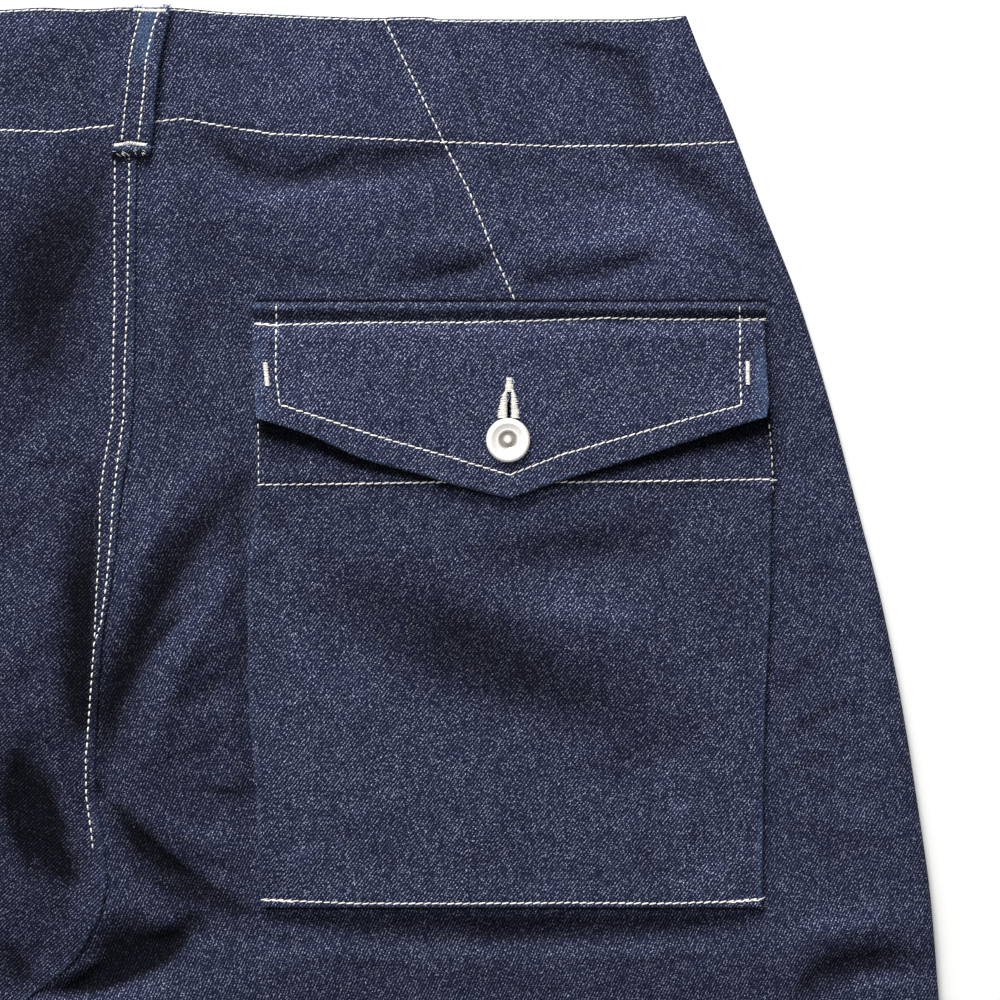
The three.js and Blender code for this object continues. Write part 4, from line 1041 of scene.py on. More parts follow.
def cloth_piece(name, replaced, faces, finishes, marks, uv, step=1, worn_under=False, opened=None):
    """One closed sheet of cloth from its two faces, grids of points of which the lower one keeps one
    row and column in each step. Cells that are opened are left out of both. The marks are the upper
    face's tone and wear, and the lower face takes its tone, and its wear where asked."""
    upper, lower = faces
    shape = upper.shape[:2]
    rows, columns = kept(shape[0], step), kept(shape[1], step)
    pick = np.ix_(rows, columns)
    points, up, under, rim = closed_shell(upper, lower[pick], rows, columns)
    groups = [up, under, rim]
    if opened is not None:
        closed = ~opened.ravel()
        groups = [up[closed], under[closed], rim, hole_walls(opened, shape, shape[0] * shape[1])]
    groups = facing_out(points, *groups)
    tone, wear = (np.broadcast_to(mark, shape) for mark in marks)
    wear = np.clip(wear, 0, 1)
    kept_marks = {
        "tone": np.concatenate([tone.ravel(), tone[pick].ravel()]),
        "wear": np.concatenate([wear.ravel(), wear[pick].ravel() * worn_under]),
    }
    place = np.concatenate([uv.reshape(-1, 2), uv[pick].reshape(-1, 2)])
    materials = [finish_of(finish) for finish in finishes]
    piece = make_piece(name, points, groups, materials, kept_marks, place)
    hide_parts(replaced)
    return piece


def back_rows():
    fine = np.concatenate([
        spaced(2.2, 111.8, 1.32), [112.3, 112.7, 113.1, 113.5, 113.9, 114.5], spaced(115.5, 346.8, 1.32),
        [347.4, 347.8, 348.2, 348.6, 349, 349.5], spaced(350.6, FORK_DOWN, 1.32),
    ])
    legs = spaced(FORK_DOWN, LENGTH - HEM_DEPTH - 2, 9.5)[1:]
    hem = np.array([LENGTH - HEM_DEPTH, LENGTH - HEM_DEPTH + 2, LENGTH - 20, LENGTH - 10, LENGTH - 4,
        LENGTH - 1.3, LENGTH - 0.8, LENGTH - 0.35, LENGTH - 0.1, LENGTH])
    return np.concatenate([[0, 0.1, 0.35, 0.8, 1.4], fine, legs, hem])


def back_columns():
    """Shares of the way from the inner edge to the side, crowded where both edges round over."""
    return rim_to_rim((0, 0.3, 0.9, 1.7, 2.7, 4.0), 5.2, 1.72, 270)


def make_back(side):
    """One back as a grid of rows down from the waist and columns out from the centre seam."""
    down = back_rows()[:, None]
    share = back_columns()[None, :]
    seam = seat_seam(np.minimum(down, FORK_DOWN))
    inseam = inseam_right(down) if side > 0 else inseam_left(down)
    lap = -2.2 if side > 0 else 1.1
    blend = step_between(down, FORK_DOWN - 12, FORK_DOWN)
    inner = np.where(down > FORK_DOWN, inseam, seam + lap * (1 - blend) + side * 0.15 * blend)
    outer = side_right(down) if side > 0 else side_left(down)
    across = inner + (outer - inner) * share
    fade = np.maximum(0, 1 - down / WAIST_EDGE_FADE)
    true_down = down + back_waist_edge(across) * fade
    z = back_face(across, true_down, side)
    seated = np.where(down < FORK_DOWN, 9, 0)
    inset = rounded(np.minimum(np.abs(across - inner) + seated, np.abs(outer - across)), EDGE_RADIUS)
    under = z - wall_at(down) * (0.12 + 0.88 * inset)
    name, replaced, lean = {
        1: ("right_back_cloth", "back_right", (5.0, 14.0)),
        -1: ("left_back_cloth", "back_left", (-4.0, -9.0)),
    }[side]
    return cloth_piece(
        name, replaced,
        (points_at(across, true_down, z), points_at(across, true_down, under)),
        ("indigo_denim_body", "denim_wrong_side", "indigo_denim_body"),
        (body_tone(across, true_down), body_wear(across, true_down, side)),
        weave_place(across, true_down, *lean), step=3,
    )


def broken_by(across, down, cell, seed):
    """How far wear is broken up, from 0 to 1."""
    return 0.5 + 0.5 * soft_noise(across, down, cell, seed)


def body_wear(across, down, side):
    """Rubbed blue along the turned waist edge and the seat seam's fold."""
    edge = np.exp(-(((down - back_waist_edge(across)) / 1.6) ** 2))
    seam = across - seat_seam(np.minimum(down, FORK_DOWN))
    fold = bell(seam, 0, 1.4) * (down < FORK_DOWN) * (side < 0)
    broken = broken_by(across, down, 5, 75)
    return np.clip((0.3 * edge + 0.2 * fold) * broken, 0, 1)


def make_front(side):
    """One front, flat on the floor: its outer face is below and its inner face a wall higher."""
    hem = LENGTH - HEM_DEPTH
    down = np.concatenate([
        [0, 0.4, 1.2], spaced(3, LIFT_FROM, 5), spaced(LIFT_FROM, FORK_DOWN, 6.5)[1:],
        spaced(FORK_DOWN, hem, 12)[1:], [LENGTH - 20, LENGTH - 8, LENGTH - 1.2, LENGTH - 0.4, LENGTH],
    ])[:, None]
    share = rim_to_rim((0, 0.003, 0.008, 0.015), 0.03, 0.022)[None, :]
    inseam, outer = (inseam_right, side_right) if side > 0 else (inseam_left, side_left)
    outer = outer(down)
    seam = front_seam(np.minimum(down, FORK_DOWN)) + side * 0.15
    inner = np.where(down > FORK_DOWN, inseam(down), seam)
    across = inner + (outer - inner) * share
    true_down = down + front_waist_edge(across) * np.maximum(0, 1 - down / WAIST_EDGE_FADE)
    depth = np.abs(outer - across)
    depth = np.where(down > FORK_DOWN, np.minimum(depth, np.abs(across - inner)), depth)
    edge = rounded(depth, EDGE_RADIUS)
    seam_height = lift(down) + SIDE_SEAM_HEIGHT - 0.15
    waver = 0.08 * soft_noise(across, true_down, 12, 81) * np.clip(depth / 6, 0, 1)
    under = seam_height - (seam_height - lift(down)) * edge
    top = under + wall_at(down) * (0.12 + 0.88 * edge) + np.abs(waver)
    tone = 0.95 + layered_noise(across, true_down, (0.08, 60, 87), (0.05, 17, 88))
    tone += 0.1 * (1 - step_between(true_down, 40, 62))
    name, replaced = {1: ("right_front_cloth", "front_right"), -1: ("left_front_cloth", "front_left")}[side]
    return cloth_piece(
        name, replaced,
        (points_at(across, true_down, top), points_at(across, true_down, under)),
        ("denim_wrong_side", "indigo_denim_body", "indigo_denim_body"), (tone, 0.0),
        weave_place(across, true_down, 3.0 * side, 8.0 * side),
    )


def make_pocket():
    """The patch pocket on a grid of rows down it and columns between its two sides."""
    down = np.concatenate([spaced(POCKET["top"], POCKET["bottom"] - 1.6, 1.25),
        POCKET["bottom"] - np.array([1.1, 0.6, 0.25, 0.05, 0])])[:, None]
    share = rim_to_rim((0, 0.1, 0.4, 0.8, 1.3, 1.9), 3, 1.2, 198)[None, :]
    across = pocket_left(down) + (pocket_right(down) - pocket_left(down)) * share
    down = np.broadcast_to(down, across.shape)
    tone = 1 + layered_noise(across, down, (0.08, 45, 73), (0.06, 14, 74))
    tone += 0.08 * soft_noise(across, down * 0.25, 3.5, 84) + fold_wear_and_shade(across, down)
    tone = np.maximum(tone, 0.3)
    right = pocket_right(down) - across
    left = across - pocket_left(down)
    foot = POCKET["bottom"] - down
    # Painted light: a lit rim along the pocket's foot
    tone += 0.3 * bell(foot, 0.6, 0.6)
    # Painted shadow of the flap: near black beneath it and in a wedge below its lower edge, tallest at the
    # corners and thin at its point
    out = np.abs(across - FLAP_TIP_ACROSS) / 99
    below = down - flap_foot(np.clip(across, FLAP_EDGE[3][0], FLAP_EDGE[12][0]))
    tone *= 1 - 0.9 * (1 - step_between(below, 4.8 * out, 1.0 + 7.6 * out))
    broken = broken_by(across, down, 6, 76)
    wear = 0.55 * bell(right, 0, 1.6) * step_between(down, 185, 210) * broken
    wear += 0.25 * bell(left, 0, 1.2) * broken + 0.3 * bell(foot, 0, 1.0) * broken
    top, under = pocket_face(across, down), lay_height(across, down) + 0.25
    return cloth_piece(
        "back_pocket_cloth", "pocket_back_right",
        (points_at(across, down, top), points_at(across, down, under)),
        ("indigo_denim_pocket",), (tone, wear), weave_place(across, down, 0, 0), step=3,
    )


def make_flap():
    """The pointed flap: columns from side to side with one on its point, rows from its sewn top to
    its lower edge, and a slit through both faces for the button."""
    left, right, top, tip = FLAP["left"], FLAP["right"], FLAP["top"], FLAP_TIP_ACROSS
    slit = BUTTON["across"]
    rim_steps = np.array([0, 0.12, 0.4, 0.8, 1.3])
    at = np.unique(np.concatenate([
        left + rim_steps, spaced(left + 2, slit - 5, 0.95), slit + spaced(-4, -0.8, 0.4), [slit],
        slit + spaced(0.8, 4, 0.4), spaced(slit + 5, right - 2, 0.95), right - rim_steps, [tip],
    ]).round(3))
    share = ((at - left) / (right - left))[None, :]
    down_share = np.concatenate([
        [0, 0.006, 0.015, 0.028, 0.045], spaced(0.06, 0.965, 0.0125), [0.978, 0.988, 0.995, 1],
    ])[:, None]
    across = left + (right - left) * share
    foot = flap_foot(np.clip(across, FLAP_EDGE[3][0], FLAP_EDGE[12][0]))
    down = top + (foot - top) * down_share
    from_left = (flap_left(down) - left) * np.clip(1 - (across - left) / 40, 0, 1)
    from_right = (flap_right(down) - right) * np.clip(1 - (right - across) / 40, 0, 1)
    across = across + from_left + from_right
    z = flap_face(across, down)
    edge = np.minimum(across - flap_left(down), flap_right(down) - across)
    edge = np.minimum(edge, np.minimum((foot - down) * 0.93, down - top + 0.3))
    wall = FLAP_WALL * (0.35 + 0.65 * rounded(edge, 1.2))
    under = np.maximum(z - wall, lay_height(across, down) + 0.35)
    middle_a = (across[:-1, :-1] + across[1:, 1:]) / 2
    middle_d = (down[:-1, :-1] + down[1:, 1:]) / 2
    slot_cells = (np.abs(middle_a - slit) < 0.8) & (middle_d > 152.3) & (middle_d < 170)
    shank_cells = (np.abs(middle_a - slit) < 3.4) & (np.abs(middle_d - BUTTON["down"]) < 3.4)
    tone = 1.02 + layered_noise(across, down, (0.07, 40, 77), (0.05, 12, 78))
    rolled = down - top
    # Painted shade on the strip between the flap's rolled top and its seam, darkest below the roll
    painted_shade_strip = 1 - step_between(rolled, 6.2, 7.4)
    tone = tone - 0.2 * painted_shade_strip - 0.34 * painted_shade_strip * step_between(rolled, 2.2, 3.8)
    broken = broken_by(across, down, 5, 79)
    left_off, right_off = across - flap_left(down), flap_right(down) - across
    wear = 0.4 * (1 - step_between(left_off, 2.0, 5.5)) * broken * step_between(down, 116, 150)
    low = step_between(down, 128, 136)
    wear += 0.5 * (1 - step_between(right_off, 2.5, 7)) * low * (0.35 + 0.65 * broken)
    wear += 0.35 * bell(foot, down, 1.2) * broken
    wear += 0.12 * np.exp(-(((down - top - 1.6) / 1.0) ** 2)) * broken
    wear += 0.3 * (1 - step_between(left_off, 6.5, 8.5)) * (1 - step_between(rolled, 3.0, 5.0)) * broken
    return cloth_piece(
        "pocket_flap_cloth", "flap_right",
        (points_at(across, down, z), points_at(across, down, under)), ("indigo_denim_flap",),
        (tone, wear), weave_place(across, down, 0, 0), worn_under=True, opened=slot_cells | shank_cells,
    )


def hole_walls(opened, shape, under):
    """Quads that join the two faces round the cells that are left out of both."""
    index = np.arange(shape[0] * shape[1]).reshape(shape)
    padded = np.pad(opened, 1)
    walls = []
    sides = (
        (-1, 0, (0, 0), (0, 1)), (1, 0, (1, 1), (1, 0)), (0, -1, (1, 0), (0, 0)), (0, 1, (0, 1), (1, 1)),
    )
    for dr, dc, first, second in sides:
        beside = padded[1 + dr:padded.shape[0] - 1 + dr, 1 + dc:padded.shape[1] - 1 + dc]
        r, c = np.nonzero(opened & ~beside)
        p = index[r + first[0], c + first[1]]
        q = index[r + second[0], c + second[1]]
        walls.append(np.stack([q, p, p + under, q + under], -1))
    return np.concatenate(walls)


def make_loop():
    """The belt loop on a grid along it and across its width."""
    down = np.concatenate([
        0.4 + np.array([0, 0.15, 0.5, 1.0]), spaced(2, 56.6, 0.5), 58.4 - np.array([1.2, 0.7, 0.3, 0.1, 0]),
    ])[:, None]
    rim = np.array([0, 0.015, 0.05, 0.1])
    out = np.concatenate([-1 + rim, spaced(-0.85, 0.85, 0.068), 1 - rim[::-1]])[None, :]
    middle, half = loop_middle(down)
    across = middle + half * out
    down = np.broadcast_to(down, across.shape)
    middle = np.broadcast_to(middle, across.shape)
    z = loop_face(across, down)
    seat = np.maximum(lay_height(middle, down) + 0.95, z - 2.0 - 0.9 * bell(down, 55.6, 2.6))
    under = np.minimum(seat, z - 0.2)
    broken = broken_by(across, down, 3.5, 85)
    inside = 1 - step_between(np.abs(out), 0.35, 0.6)
    wear = 0.6 * inside * (1 - step_between(down, 16, 26)) * (0.4 + 0.6 * broken)
    beads = 0.5 + 0.5 * np.sin(down * 2 * math.pi / 1.5)
    wear += 0.9 * np.exp(-((((1 - out) * half - 0.5) / 0.45) ** 2)) * beads
    wear += 0.3 * np.exp(-(((1 + out) * half / 0.7) ** 2)) * broken
    wear += 0.5 * bell(down, 55.2, 0.6) * (0.5 + 0.5 * np.sin(across * 4.2))
    tone = 1.05 + 0.1 * soft_noise(across, down, 9, 86)
    # Painted shade on the loop's rolled foot
    tone = tone - 0.7 * step_between(down, 54.4, 56.4)
    return cloth_piece(
        "belt_loop_cloth", "belt_loop_back",
        (points_at(across, down, z), points_at(across, down, under)), ("indigo_denim_loop",),
        (tone, wear), np.stack([across - middle, -down], -1), worn_under=True,
    )


FRONT_LOOPS = (
    ("front_loop_right", 72, "belt_loop_front_right"), ("side_loop_right", 152, "belt_loop_side_right"),
    ("front_loop_left", -72, "belt_loop_front_left"), ("side_loop_left", -152, "belt_loop_side_left"),
)


def front_loop_under(across, down):
    """Outer face of the loops under the fronts: bowed away between their two tacks."""
    from_edge = down - front_waist_edge(across) - 2
    bow = 0.7 * np.minimum(1, 2 * np.sin(math.pi * np.clip(from_edge / 52, 0, 1)))
    return WAIST_LIFT - GAP - bow - 1.6


def make_front_loop(name, middle, replaced):
    """One plain loop between a front and the surface, its long edges rounded."""
    share = rim_to_rim((0, 0.01, 0.03), 0.06, 0.03)[:, None]
    out = np.concatenate([[-1, -0.97, -0.88], spaced(-0.75, 0.75, 0.15), [0.88, 0.97, 1]])[None, :]
    across = middle + 7.75 * out + 0 * share
    down = front_waist_edge(across) + 2 + 52 * share
    edge = np.minimum((1 - np.abs(out)) * 7.75, np.minimum(share, 1 - share) * 52)
    soft = 0.6 * (1 - rounded(edge, 0.8))
    z = front_loop_under(across, down)
    return cloth_piece(
        name, replaced,
        (points_at(across, down, z + 1.6 - soft * 0.3), points_at(across, down, z + soft)),
        ("indigo_denim_loop",), (0.95, 0.0), np.stack([across - middle, -down], -1),
    )


def make_placket():
    """The fly placket on the fronts' inner faces, tapered at its foot."""
    p = PLACKET
    down = spaced(0, p["end"], 4.0)[:, None]
    share = rim_to_rim((0, 0.02, 0.06), 0.12, 0.08)[None, :]
    taper = step_between(down, p["end"] - 2 * p["taper"], p["end"]) * p["taper"]
    across = p["left"] + taper + (p["right"] - p["left"] - taper) * share
    true_down = down + front_waist_edge(across) * np.maximum(0, 1 - down / WAIST_EDGE_FADE)
    base = lift(down) + wall_at(down) + GAP + 0 * across
    edge = np.minimum(share, 1 - share) * 50
    soft = 0.5 * (1 - rounded(edge, 1.2))
    top = base + p["wall"] - 0.05 - soft
    return cloth_piece(
        "fly_placket_cloth", "fly_placket",
        (points_at(across, true_down, top), points_at(across, true_down, base + 0.12)),
        ("indigo_denim_body",), (0.95, 0.0), weave_place(across, true_down, 0, 0),
    )


# Section of a button's head from its rim's foot to its middle: radius, rise
BUTTON_SECTION = (
    (2.9, -1.2), (2.9, 0), (7.0, 0), (7.9, 0.12), (8.35, 0.5), (8.5, 0.95), (8.42, 1.35), (8.15, 1.7),
    (7.7, 1.95), (7.15, 2.02), (6.4, 1.95), (5.4, 1.62), (4.6, 1.42), (3.95, 1.32), (3.55, 1.1),
    (3.3, 0.8), (2.9, 0.62), (2.2, 0.6), (1.75, 0.68), (1.55, 0.95), (1.35, 1.3), (1.0, 1.52),
    (0.5, 1.62), (0, 1.64),
)


def make_button(name, across, down, seat, flipped, replaced):
    """A tack button: its section turned about the shank, closed at both ends."""
    section = np.array(BUTTON_SECTION)
    run = np.concatenate([[0], np.cumsum(np.hypot(*np.diff(section, axis=0).T))])
    at = np.unique(np.concatenate([np.linspace(0, run[-1], 90), run]))
    radius, rise = np.interp(at, run, section[:, 0]), np.interp(at, run, section[:, 1])
    radius, rise = radius[:-1], rise[:-1]
    angle = np.arange(96) * 2 * math.pi / 96
    ring = np.stack([
        across + radius[:, None] * np.cos(angle), LENGTH / 2 - down + radius[:, None] * np.sin(angle),
        seat + (-1 if flipped else 1) * np.broadcast_to(rise[:, None], (len(rise), 96)),
    ], -1)
    tip = seat + (-1.64 if flipped else 1.64)
    poles = np.array([[across, LENGTH / 2 - down, z] for z in (ring[0, 0, 2], tip)])
    index = np.arange(len(radius) * 96).reshape(-1, 96)
    turned = np.roll(index, -1, axis=1)
    quads = np.stack([index[:-1], turned[:-1], turned[1:], index[1:]], -1).reshape(-1, 4)
    count = index.size
    caps = np.concatenate([
        np.stack([turned[0], index[0], np.full(96, count)], -1),
        np.stack([index[-1], turned[-1], np.full(96, count + 1)], -1),
    ])
    points = np.concatenate([ring.reshape(-1, 3), poles])
    quads, caps = facing_out(points, quads, caps)
    # The dish's mark: dulled plating with painted shade round the recess
    dish = np.clip(1 - np.abs(radius - 2.5) / 1.3, 0, 1) ** 0.5
    wear = np.append(np.repeat(0.9 * dish, 96), [0, 0])
    materials = [finish_of("plated_brass_button")]
    piece = make_piece(name, points, (quads, caps), materials, {"wear": wear}, None, 60)
    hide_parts(replaced)
    return piece


def flap_button_seat():
    return float(flap_face(np.array([BUTTON["across"]]), np.array([BUTTON["down"]]))[0]) + 0.2


class TROUSERS_OT_backs(bpy.types.Operator):
    """Makes both backs: the cloth that shows, with its folds, dart and felled centre seam"""

    bl_idname = "trousers.backs"
    bl_label = "Backs"

    def execute(self, context):
        right = make_back(1)
        left = make_back(-1)
        return {"FINISHED"}


class TROUSERS_OT_fronts(bpy.types.Operator):
    """Makes both fronts, flat under the backs"""

    bl_idname = "trousers.fronts"
    bl_label = "Fronts"

    def execute(self, context):
        for side in (1, -1):
            piece = make_front(side)
        return {"FINISHED"}


class TROUSERS_OT_pocket(bpy.types.Operator):
    """Makes the patch pocket and its pointed flap"""

    bl_idname = "trousers.pocket"
    bl_label = "Pocket and flap"

    def execute(self, context):
        pocket = make_pocket()
        flap = make_flap()
        return {"FINISHED"}


class TROUSERS_OT_loops(bpy.types.Operator):
    """Makes the belt loops and the fly placket"""

    bl_idname = "trousers.loops"
    bl_label = "Belt loops and placket"

    def execute(self, context):
        loop = make_loop()
        for name, across, replaced in FRONT_LOOPS:
            loop = make_front_loop(name, across, replaced)
        placket = make_placket()
        return {"FINISHED"}


class TROUSERS_OT_buttons(bpy.types.Operator):
    """Turns the flap's button and the waist's button"""

    bl_idname = "trousers.buttons"
    bl_label = "Buttons"

    def execute(self, context):
        seat = flap_button_seat()
        make_button("pocket_button", *BUTTON.values(), seat, False, "flap_button")
        seat = WAIST_LIFT - GAP
        make_button("waist_button_metal", *WAIST_BUTTON.values(), seat, True, "waist_button")
        return {"FINISHED"}


def row_of(line, face, context, length, slant, pitch=None, width=None, seed=1, start=0.0):
    """A row of topstitching, with the thread and pitch that the user set unless they are given."""
    sizes = context.scene.trouser_sizes
    pitch = pitch or sizes.stitch_pitch / MM
    width = width or sizes.stitch_width / MM
    first, second = stitch_ends(np.asarray(line, float), pitch, length, start, slant)
    return {"starts": first, "ends": second, "face": face, "width": width, "height": 0.42, "seed": seed}


def tack_of(line, face, width, seed, pitch=0.42, thread=0.42, height=0.5, slant=6.0):
    """A bar tack: close stitches of this width across a line."""
    first, second = cross_ends(np.asarray(line, float), pitch, width, slant)
    return {"starts": first, "ends": second, "face": face, "width": thread, "height": height, "seed": seed}


def sewn(context, face, *rows):
    """Rows of stitches on one face. Each is given by its line, which is a table in photograph pixels
    or an array on the cloth, its stitches' length, slant and seed, and then its width and start."""
    made = []
    for line, length, slant, seed, *more in rows:
        width, start = (more + [None, 0.0][len(more):])
        place = line if isinstance(line, np.ndarray) else on_cloth(line)
        made.append(row_of(place, face, context, length, slant, width=width, seed=seed, start=start))
    return made


class TROUSERS_OT_body_stitching(bpy.types.Operator):
    """Sews the waist, the dart and the centre back seam"""

    bl_idname = "trousers.body_stitching"
    bl_label = "Body stitching"

    def execute(self, context):
        make_stitches("body_topstitching", sewn(
            context, body_face, (waist_edge_line(), 2.95, -5, 101, 0.6), (WAIST_FACING_LINE, 3.0, -9, 102),
            (DART_LINE, 2.35, 4, 103), (SEAT_LEFT_LINE, 2.1, 3, 104), (SEAT_RIGHT_LINE, 2.1, 3, 105),
        ))
        return {"FINISHED"}


def under_cloth(batch, sink=0.2, **more):
    """The same stitches on a face that looks down, sunk into it."""
    return {**batch, "side": -1, "sink": sink, **more}


def front_outer(across, down):
    """Outer face of the fronts, which is underneath."""
    return lift(down) + 0.0 * across


class TROUSERS_OT_plain_stitching(bpy.types.Operator):
    """Sews the hems, the fronts' waist, the fly and the front belt loops"""

    bl_idname = "trousers.plain_stitching"
    bl_label = "Hems and front stitching"

    def execute(self, context):
        hem = LENGTH - HEM_DEPTH + 4
        legs = []
        under = []
        for inner, outer, seed in ((48, 297, 151), (-150, -399, 152)):
            side = 1 if outer > 0 else -1
            line = ((inner + side * 6, hem), (outer - side * 6, hem))
            legs.append(row_of(line, body_face, context, 2.8, -9, seed=seed))
            under.append(under_cloth(row_of(line, front_outer, context, 2.8, -9, seed=seed + 2)))
        make_stitches("hem_stitching", legs)
        at = np.linspace(-205, 205, 60)
        edge = np.stack([at, front_waist_edge(at) + 1.8], -1)
        facing = np.stack([at * 1.08, front_waist_edge(at) * 0.3 + 45], -1)
        fly = ((-4, 20), (-4, 170), (-8, 182))
        curved = ((-38, 20), (-38, 140), (-34, 160), (-24, 174), (-8, 182))
        for seed, line in ((155, edge), (156, facing), (157, fly), (158, curved)):
            under.append(under_cloth(row_of(line, front_outer, context, 2.6, -6, seed=seed)))
        for seed, (_, across, _) in enumerate(FRONT_LOOPS, 160):
            top = float(front_waist_edge(across))
            for low in (top + 3.2, top + 52.4):
                bar = ((across - 6.5, low), (across + 6.5, low))
                tack = tack_of(bar, front_loop_under, 1.3, seed, slant=18)
                under.append(under_cloth(tack, 0.15, height=0.4))
        for seed, low in enumerate((WAIST_BUTTON["down"] - 0.9, WAIST_BUTTON["down"] + 0.9), 170):
            hole = tack_of(((-25.5, low), (-11, low)), front_outer, 1.5, seed, slant=0)
            under.append(under_cloth(hole, 0.15))
        make_stitches("front_topstitching", under)
        return {"FINISHED"}


class TROUSERS_OT_pocket_stitching(bpy.types.Operator):
    """Sews the pocket, the flap and the buttonhole"""

    bl_idname = "trousers.pocket_stitching"
    bl_label = "Pocket stitching"

    def execute(self, context):
        make_stitches("flap_topstitching", [
            *sewn(
                context, flap_face, (FLAP_SEAM_LINE, 3.0, -10, 111), (FLAP_TOPSTITCH[:4], 2.2, 3, 112),
                (FLAP_TOPSTITCH[3:8], 3.0, -9, 113), (FLAP_TOPSTITCH[7:12], 3.0, -9, 114),
                (FLAP_TOPSTITCH[11:], 2.2, 3, 115), (((254, 324.4), (277, 326)), 2.9, 6, 116, None, 0.6),
                (((734, 320.6), (767, 319.8)), 2.9, 6, 117, None, 0.6),
            ),
            tack_of(on_cloth(((266, 363), (268.5, 387))), flap_face, 2.0, 118),
            tack_of(on_cloth(((746.9, 361.5), (746.9, 385))), flap_face, 1.8, 119),
        ])
        make_stitches("pocket_topstitching", sewn(
            context, pocket_face, (POCKET_HEM_LINE, 3.0, -9, 121), (POCKET_BOTTOM_LINE, 3.0, -10, 122),
            (((261, 900.6), (296, 902)), 2.9, 6, 123, None, 0.7),
            (((727, 902.6), (762, 900)), 2.9, 6, 124, None, 0.7),
            (POCKET_LEFT_LINE, 1.8, 2, 125, 0.45), (POCKET_RIGHT_LINE, 1.9, 2, 126, 0.6),
        ))
        make_stitches("buttonhole_stitching", buttonhole_batches())
        return {"FINISHED"}


def buttonhole_batches():
    """Close stitches on both sides of the slit, wider towards its eye, and a tack at its top."""
    y = np.arange(391, 418, 1.15)
    left_out = np.interp(y, (391, 399, 419), (504.5, 500, 497))
    right_out = np.interp(y, (391, 399, 419), (514, 517, 520.6))
    rng = np.random.default_rng(131)
    ragged = rng.uniform(-0.9, 0.9, (2, len(y)))
    left = np.stack([left_out + ragged[0], y + 0.5], -1), np.stack([np.full_like(y, 507.4), y], -1)
    right = np.stack([np.full_like(y, 510.8), y], -1), np.stack([right_out + ragged[1], y + 0.5], -1)
    batches = []
    for seed, (first, second) in ((132, left), (133, right)):
        batches.append({"starts": on_cloth(first), "ends": on_cloth(second), "face": flap_face,
            "width": 0.46, "height": 0.6, "seed": seed})
    batches.append(tack_of(on_cloth(((509.3, 378), (509.3, 385))), flap_face, 2.7, 134, 0.4, 0.42, 0.6, 0))
    batches.append(tack_of(on_cloth(((509.3, 385), (509.3, 392))), flap_face, 3.4, 135, 0.4, 0.42, 0.6, 0))
    return batches


def frayed(left, right, top, foot, count, run, face, seed):
    """Loose ends of yarn scattered over a patch, given in photograph pixels: each runs one way in
    millimetres, more or less."""
    rng = np.random.default_rng(seed)
    starts = on_cloth(rng.uniform((left, top), (right, foot), (count, 2)))
    ends = starts + np.array(run) * rng.uniform(0.5, 1.2, (count, 1)) + rng.normal(0, 0.35, (count, 2))
    return {"starts": starts, "ends": ends, "face": face, "width": 0.2, "height": 0.2, "seed": seed}


def loop_end(across, down):
    """Where the belt loop's cut end stands above the waist edge."""
    return loop_face(across, np.maximum(down, 1.2)) - 0.4


class TROUSERS_OT_loop_stitching(bpy.types.Operator):
    """Sews the belt loop and its two bar tacks"""

    bl_idname = "trousers.loop_stitching"
    bl_label = "Belt loop stitching"

    def execute(self, context):
        batches = [
            row_of(on_cloth(LOOP_LEFT_LINE), loop_face, context, 2.0, 3, 2.65, seed=141),
            row_of(on_cloth(LOOP_RIGHT_LINE), loop_face, context, 2.0, 3, 2.65, seed=142),
            tack_of(on_cloth(LOOP_TOP_TACK), loop_face, 1.5, 143, slant=18),
            tack_of(on_cloth(LOOP_BOTTOM_TACK), loop_face, 1.5, 144, slant=18),
            frayed(113, 148, 150, 155, 15, (1.3, 0.5), loop_face, 145),
        ]
        make_stitches("belt_loop_topstitching", batches)
        ends = [
            frayed(135, 142, 7.5, 10, 22, (0.3, -1.0), loop_end, 146),
            frayed(161, 171, 7.5, 10, 30, (0.3, -1.1), loop_end, 147),
        ]
        make_stitches("belt_loop_fringe", ends, "indigo_thread")
        return {"FINISHED"}


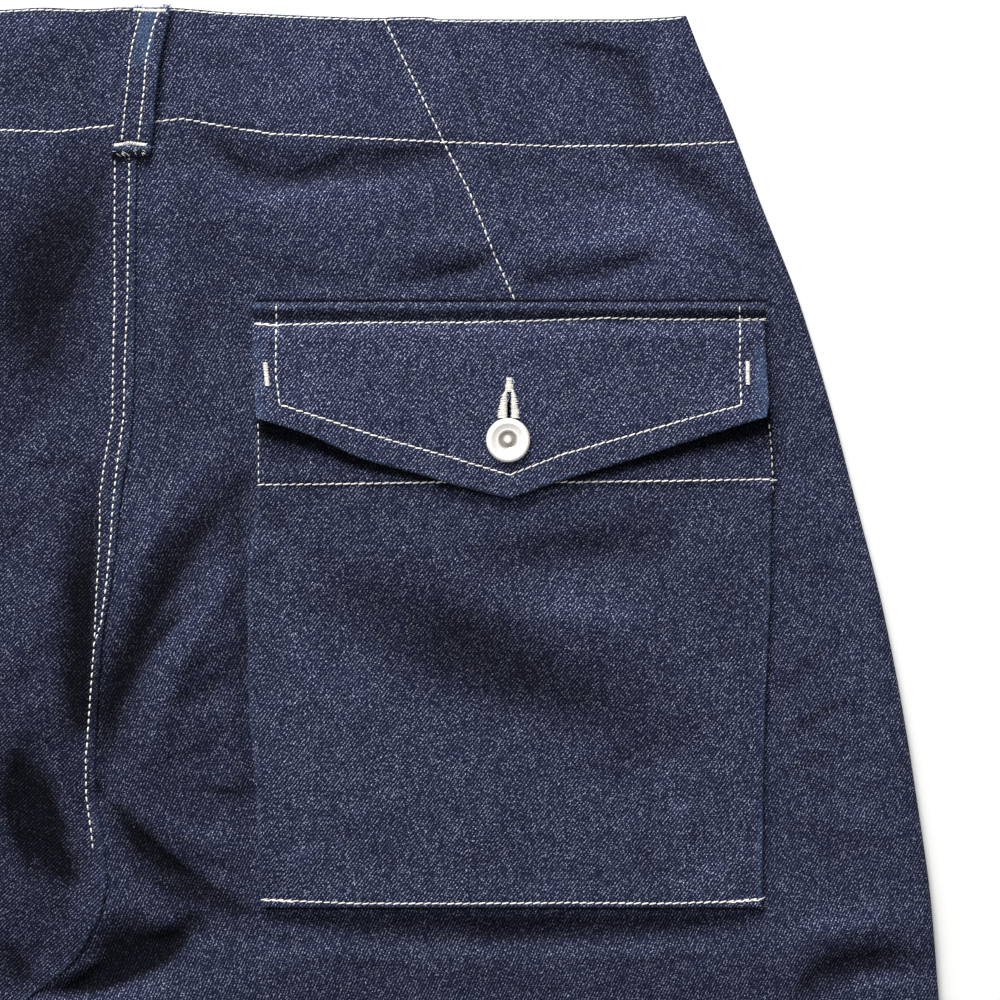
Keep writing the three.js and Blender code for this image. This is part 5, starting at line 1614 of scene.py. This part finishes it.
class TROUSERS_OT_stage(bpy.types.Operator):
    """Lays the floor, hangs the soft lights and sets the camera straight above the pocket"""

    bl_idname = "trousers.stage"
    bl_label = "Stage"

    def execute(self, context):
        settings = context.scene.trouser_stage
        half = context.scene.trouser_sizes.floor_size / 2
        mesh = bpy.data.meshes.new("floor")
        corners = ((-half, -half), (half, -half), (half, half), (-half, half))
        mesh.from_pydata([(x, y, -0.0004) for x, y in corners], [], [(0, 1, 2, 3)])
        floor = bpy.data.objects.new("floor", mesh)
        context.scene.collection.objects.link(floor)
        mesh.materials.append(finish_of("painted_floor"))
        world = bpy.data.worlds.new("pale_room")
        context.scene.world = world
        world.use_nodes = True
        world.node_tree.nodes.clear()
        pale = {"Color": (1, 1, 1, 1), "Strength": settings.fill}
        sky = node(world.node_tree, "ShaderNodeBackground", pale)
        node(world.node_tree, "ShaderNodeOutputWorld", {"Surface": sky[0]})
        self.hang(context, "key_light", settings.key_power, 0.9, (-0.4, 2.5, 1.25), (0.15, 0.2, 0))
        self.hang(context, "side_light", settings.key_power * 0.12, 1.6, (-1.9, 0.6, 1.5), (0.1, 0.1, 0))
        self.hang(context, "top_light", settings.key_power * 0.05, 1.2, (0.18, 0.32, 2.2), (0.18, 0.3201, 0))
        across, down = on_cloth((PHOTO_HALF, PHOTO_HALF))
        camera = bpy.data.cameras.new("camera")
        camera.lens = settings.lens
        camera.sensor_width = 36
        camera.clip_start, camera.clip_end = 0.05, 60
        seen = bpy.data.objects.new("camera", camera)
        context.scene.collection.objects.link(seen)
        reach = PHOTO_HALF * PHOTO_PIXEL * MM * settings.lens / 18
        seen.location = ((across + SHIFT) * MM, (LENGTH / 2 - down) * MM, 0.0085 + reach)
        seen.rotation_euler = (0, 0, 0)
        context.scene.camera = seen
        context.scene.view_settings.view_transform = "Standard"
        return {"FINISHED"}

    def hang(self, context, name, power, size, place, target):
        light = bpy.data.lights.new(name, "AREA")
        light.shape = "SQUARE"
        light.size = size
        light.energy = power
        lamp = bpy.data.objects.new(name, light)
        context.scene.collection.objects.link(lamp)
        way = np.array(target) - np.array(place)
        lamp.location = place
        flat = math.hypot(way[0], way[1])
        lamp.rotation_euler = (math.atan2(flat, -way[2]), 0, math.atan2(way[1], way[0]) - math.pi / 2)


class TROUSERS_PT_panel(bpy.types.Panel):
    """Lists the pieces in the sidebar"""

    bl_label = "Trousers"
    bl_idname = "TROUSERS_PT_panel"
    bl_space_type = "VIEW_3D"
    bl_region_type = "UI"
    bl_category = "Trousers"

    def draw(self, context):
        scene = context.scene
        for group in (scene.trouser_sizes, scene.trouser_colours, scene.trouser_stage):
            for name in group.__annotations__:
                self.layout.prop(group, name)
        for operator in OPERATORS:
            self.layout.operator(operator.bl_idname)


OPERATORS = (
    TROUSERS_OT_stage, TROUSERS_OT_backs, TROUSERS_OT_fronts, TROUSERS_OT_pocket, TROUSERS_OT_loops,
    TROUSERS_OT_buttons, TROUSERS_OT_body_stitching, TROUSERS_OT_pocket_stitching,
    TROUSERS_OT_loop_stitching, TROUSERS_OT_plain_stitching,
)
GROUPS = (TrouserSizes, TrouserColours, StageSettings)


def register():
    for made in (*GROUPS, *OPERATORS, TROUSERS_PT_panel):
        bpy.utils.register_class(made)
    bpy.types.Scene.trouser_sizes = PointerProperty(type=TrouserSizes)
    bpy.types.Scene.trouser_colours = PointerProperty(type=TrouserColours)
    bpy.types.Scene.trouser_stage = PointerProperty(type=StageSettings)


def unregister():
    del bpy.types.Scene.trouser_stage
    del bpy.types.Scene.trouser_colours
    del bpy.types.Scene.trouser_sizes
    for made in reversed((*GROUPS, *OPERATORS, TROUSERS_PT_panel)):
        bpy.utils.unregister_class(made)


def main():
    register()
    bpy.ops.trousers.stage()
    bpy.ops.trousers.backs()
    bpy.ops.trousers.fronts()
    bpy.ops.trousers.pocket()
    bpy.ops.trousers.loops()
    bpy.ops.trousers.buttons()
    bpy.ops.trousers.body_stitching()
    bpy.ops.trousers.pocket_stitching()
    bpy.ops.trousers.loop_stitching()
    bpy.ops.trousers.plain_stitching()


if __name__ == "__main__":
    main()
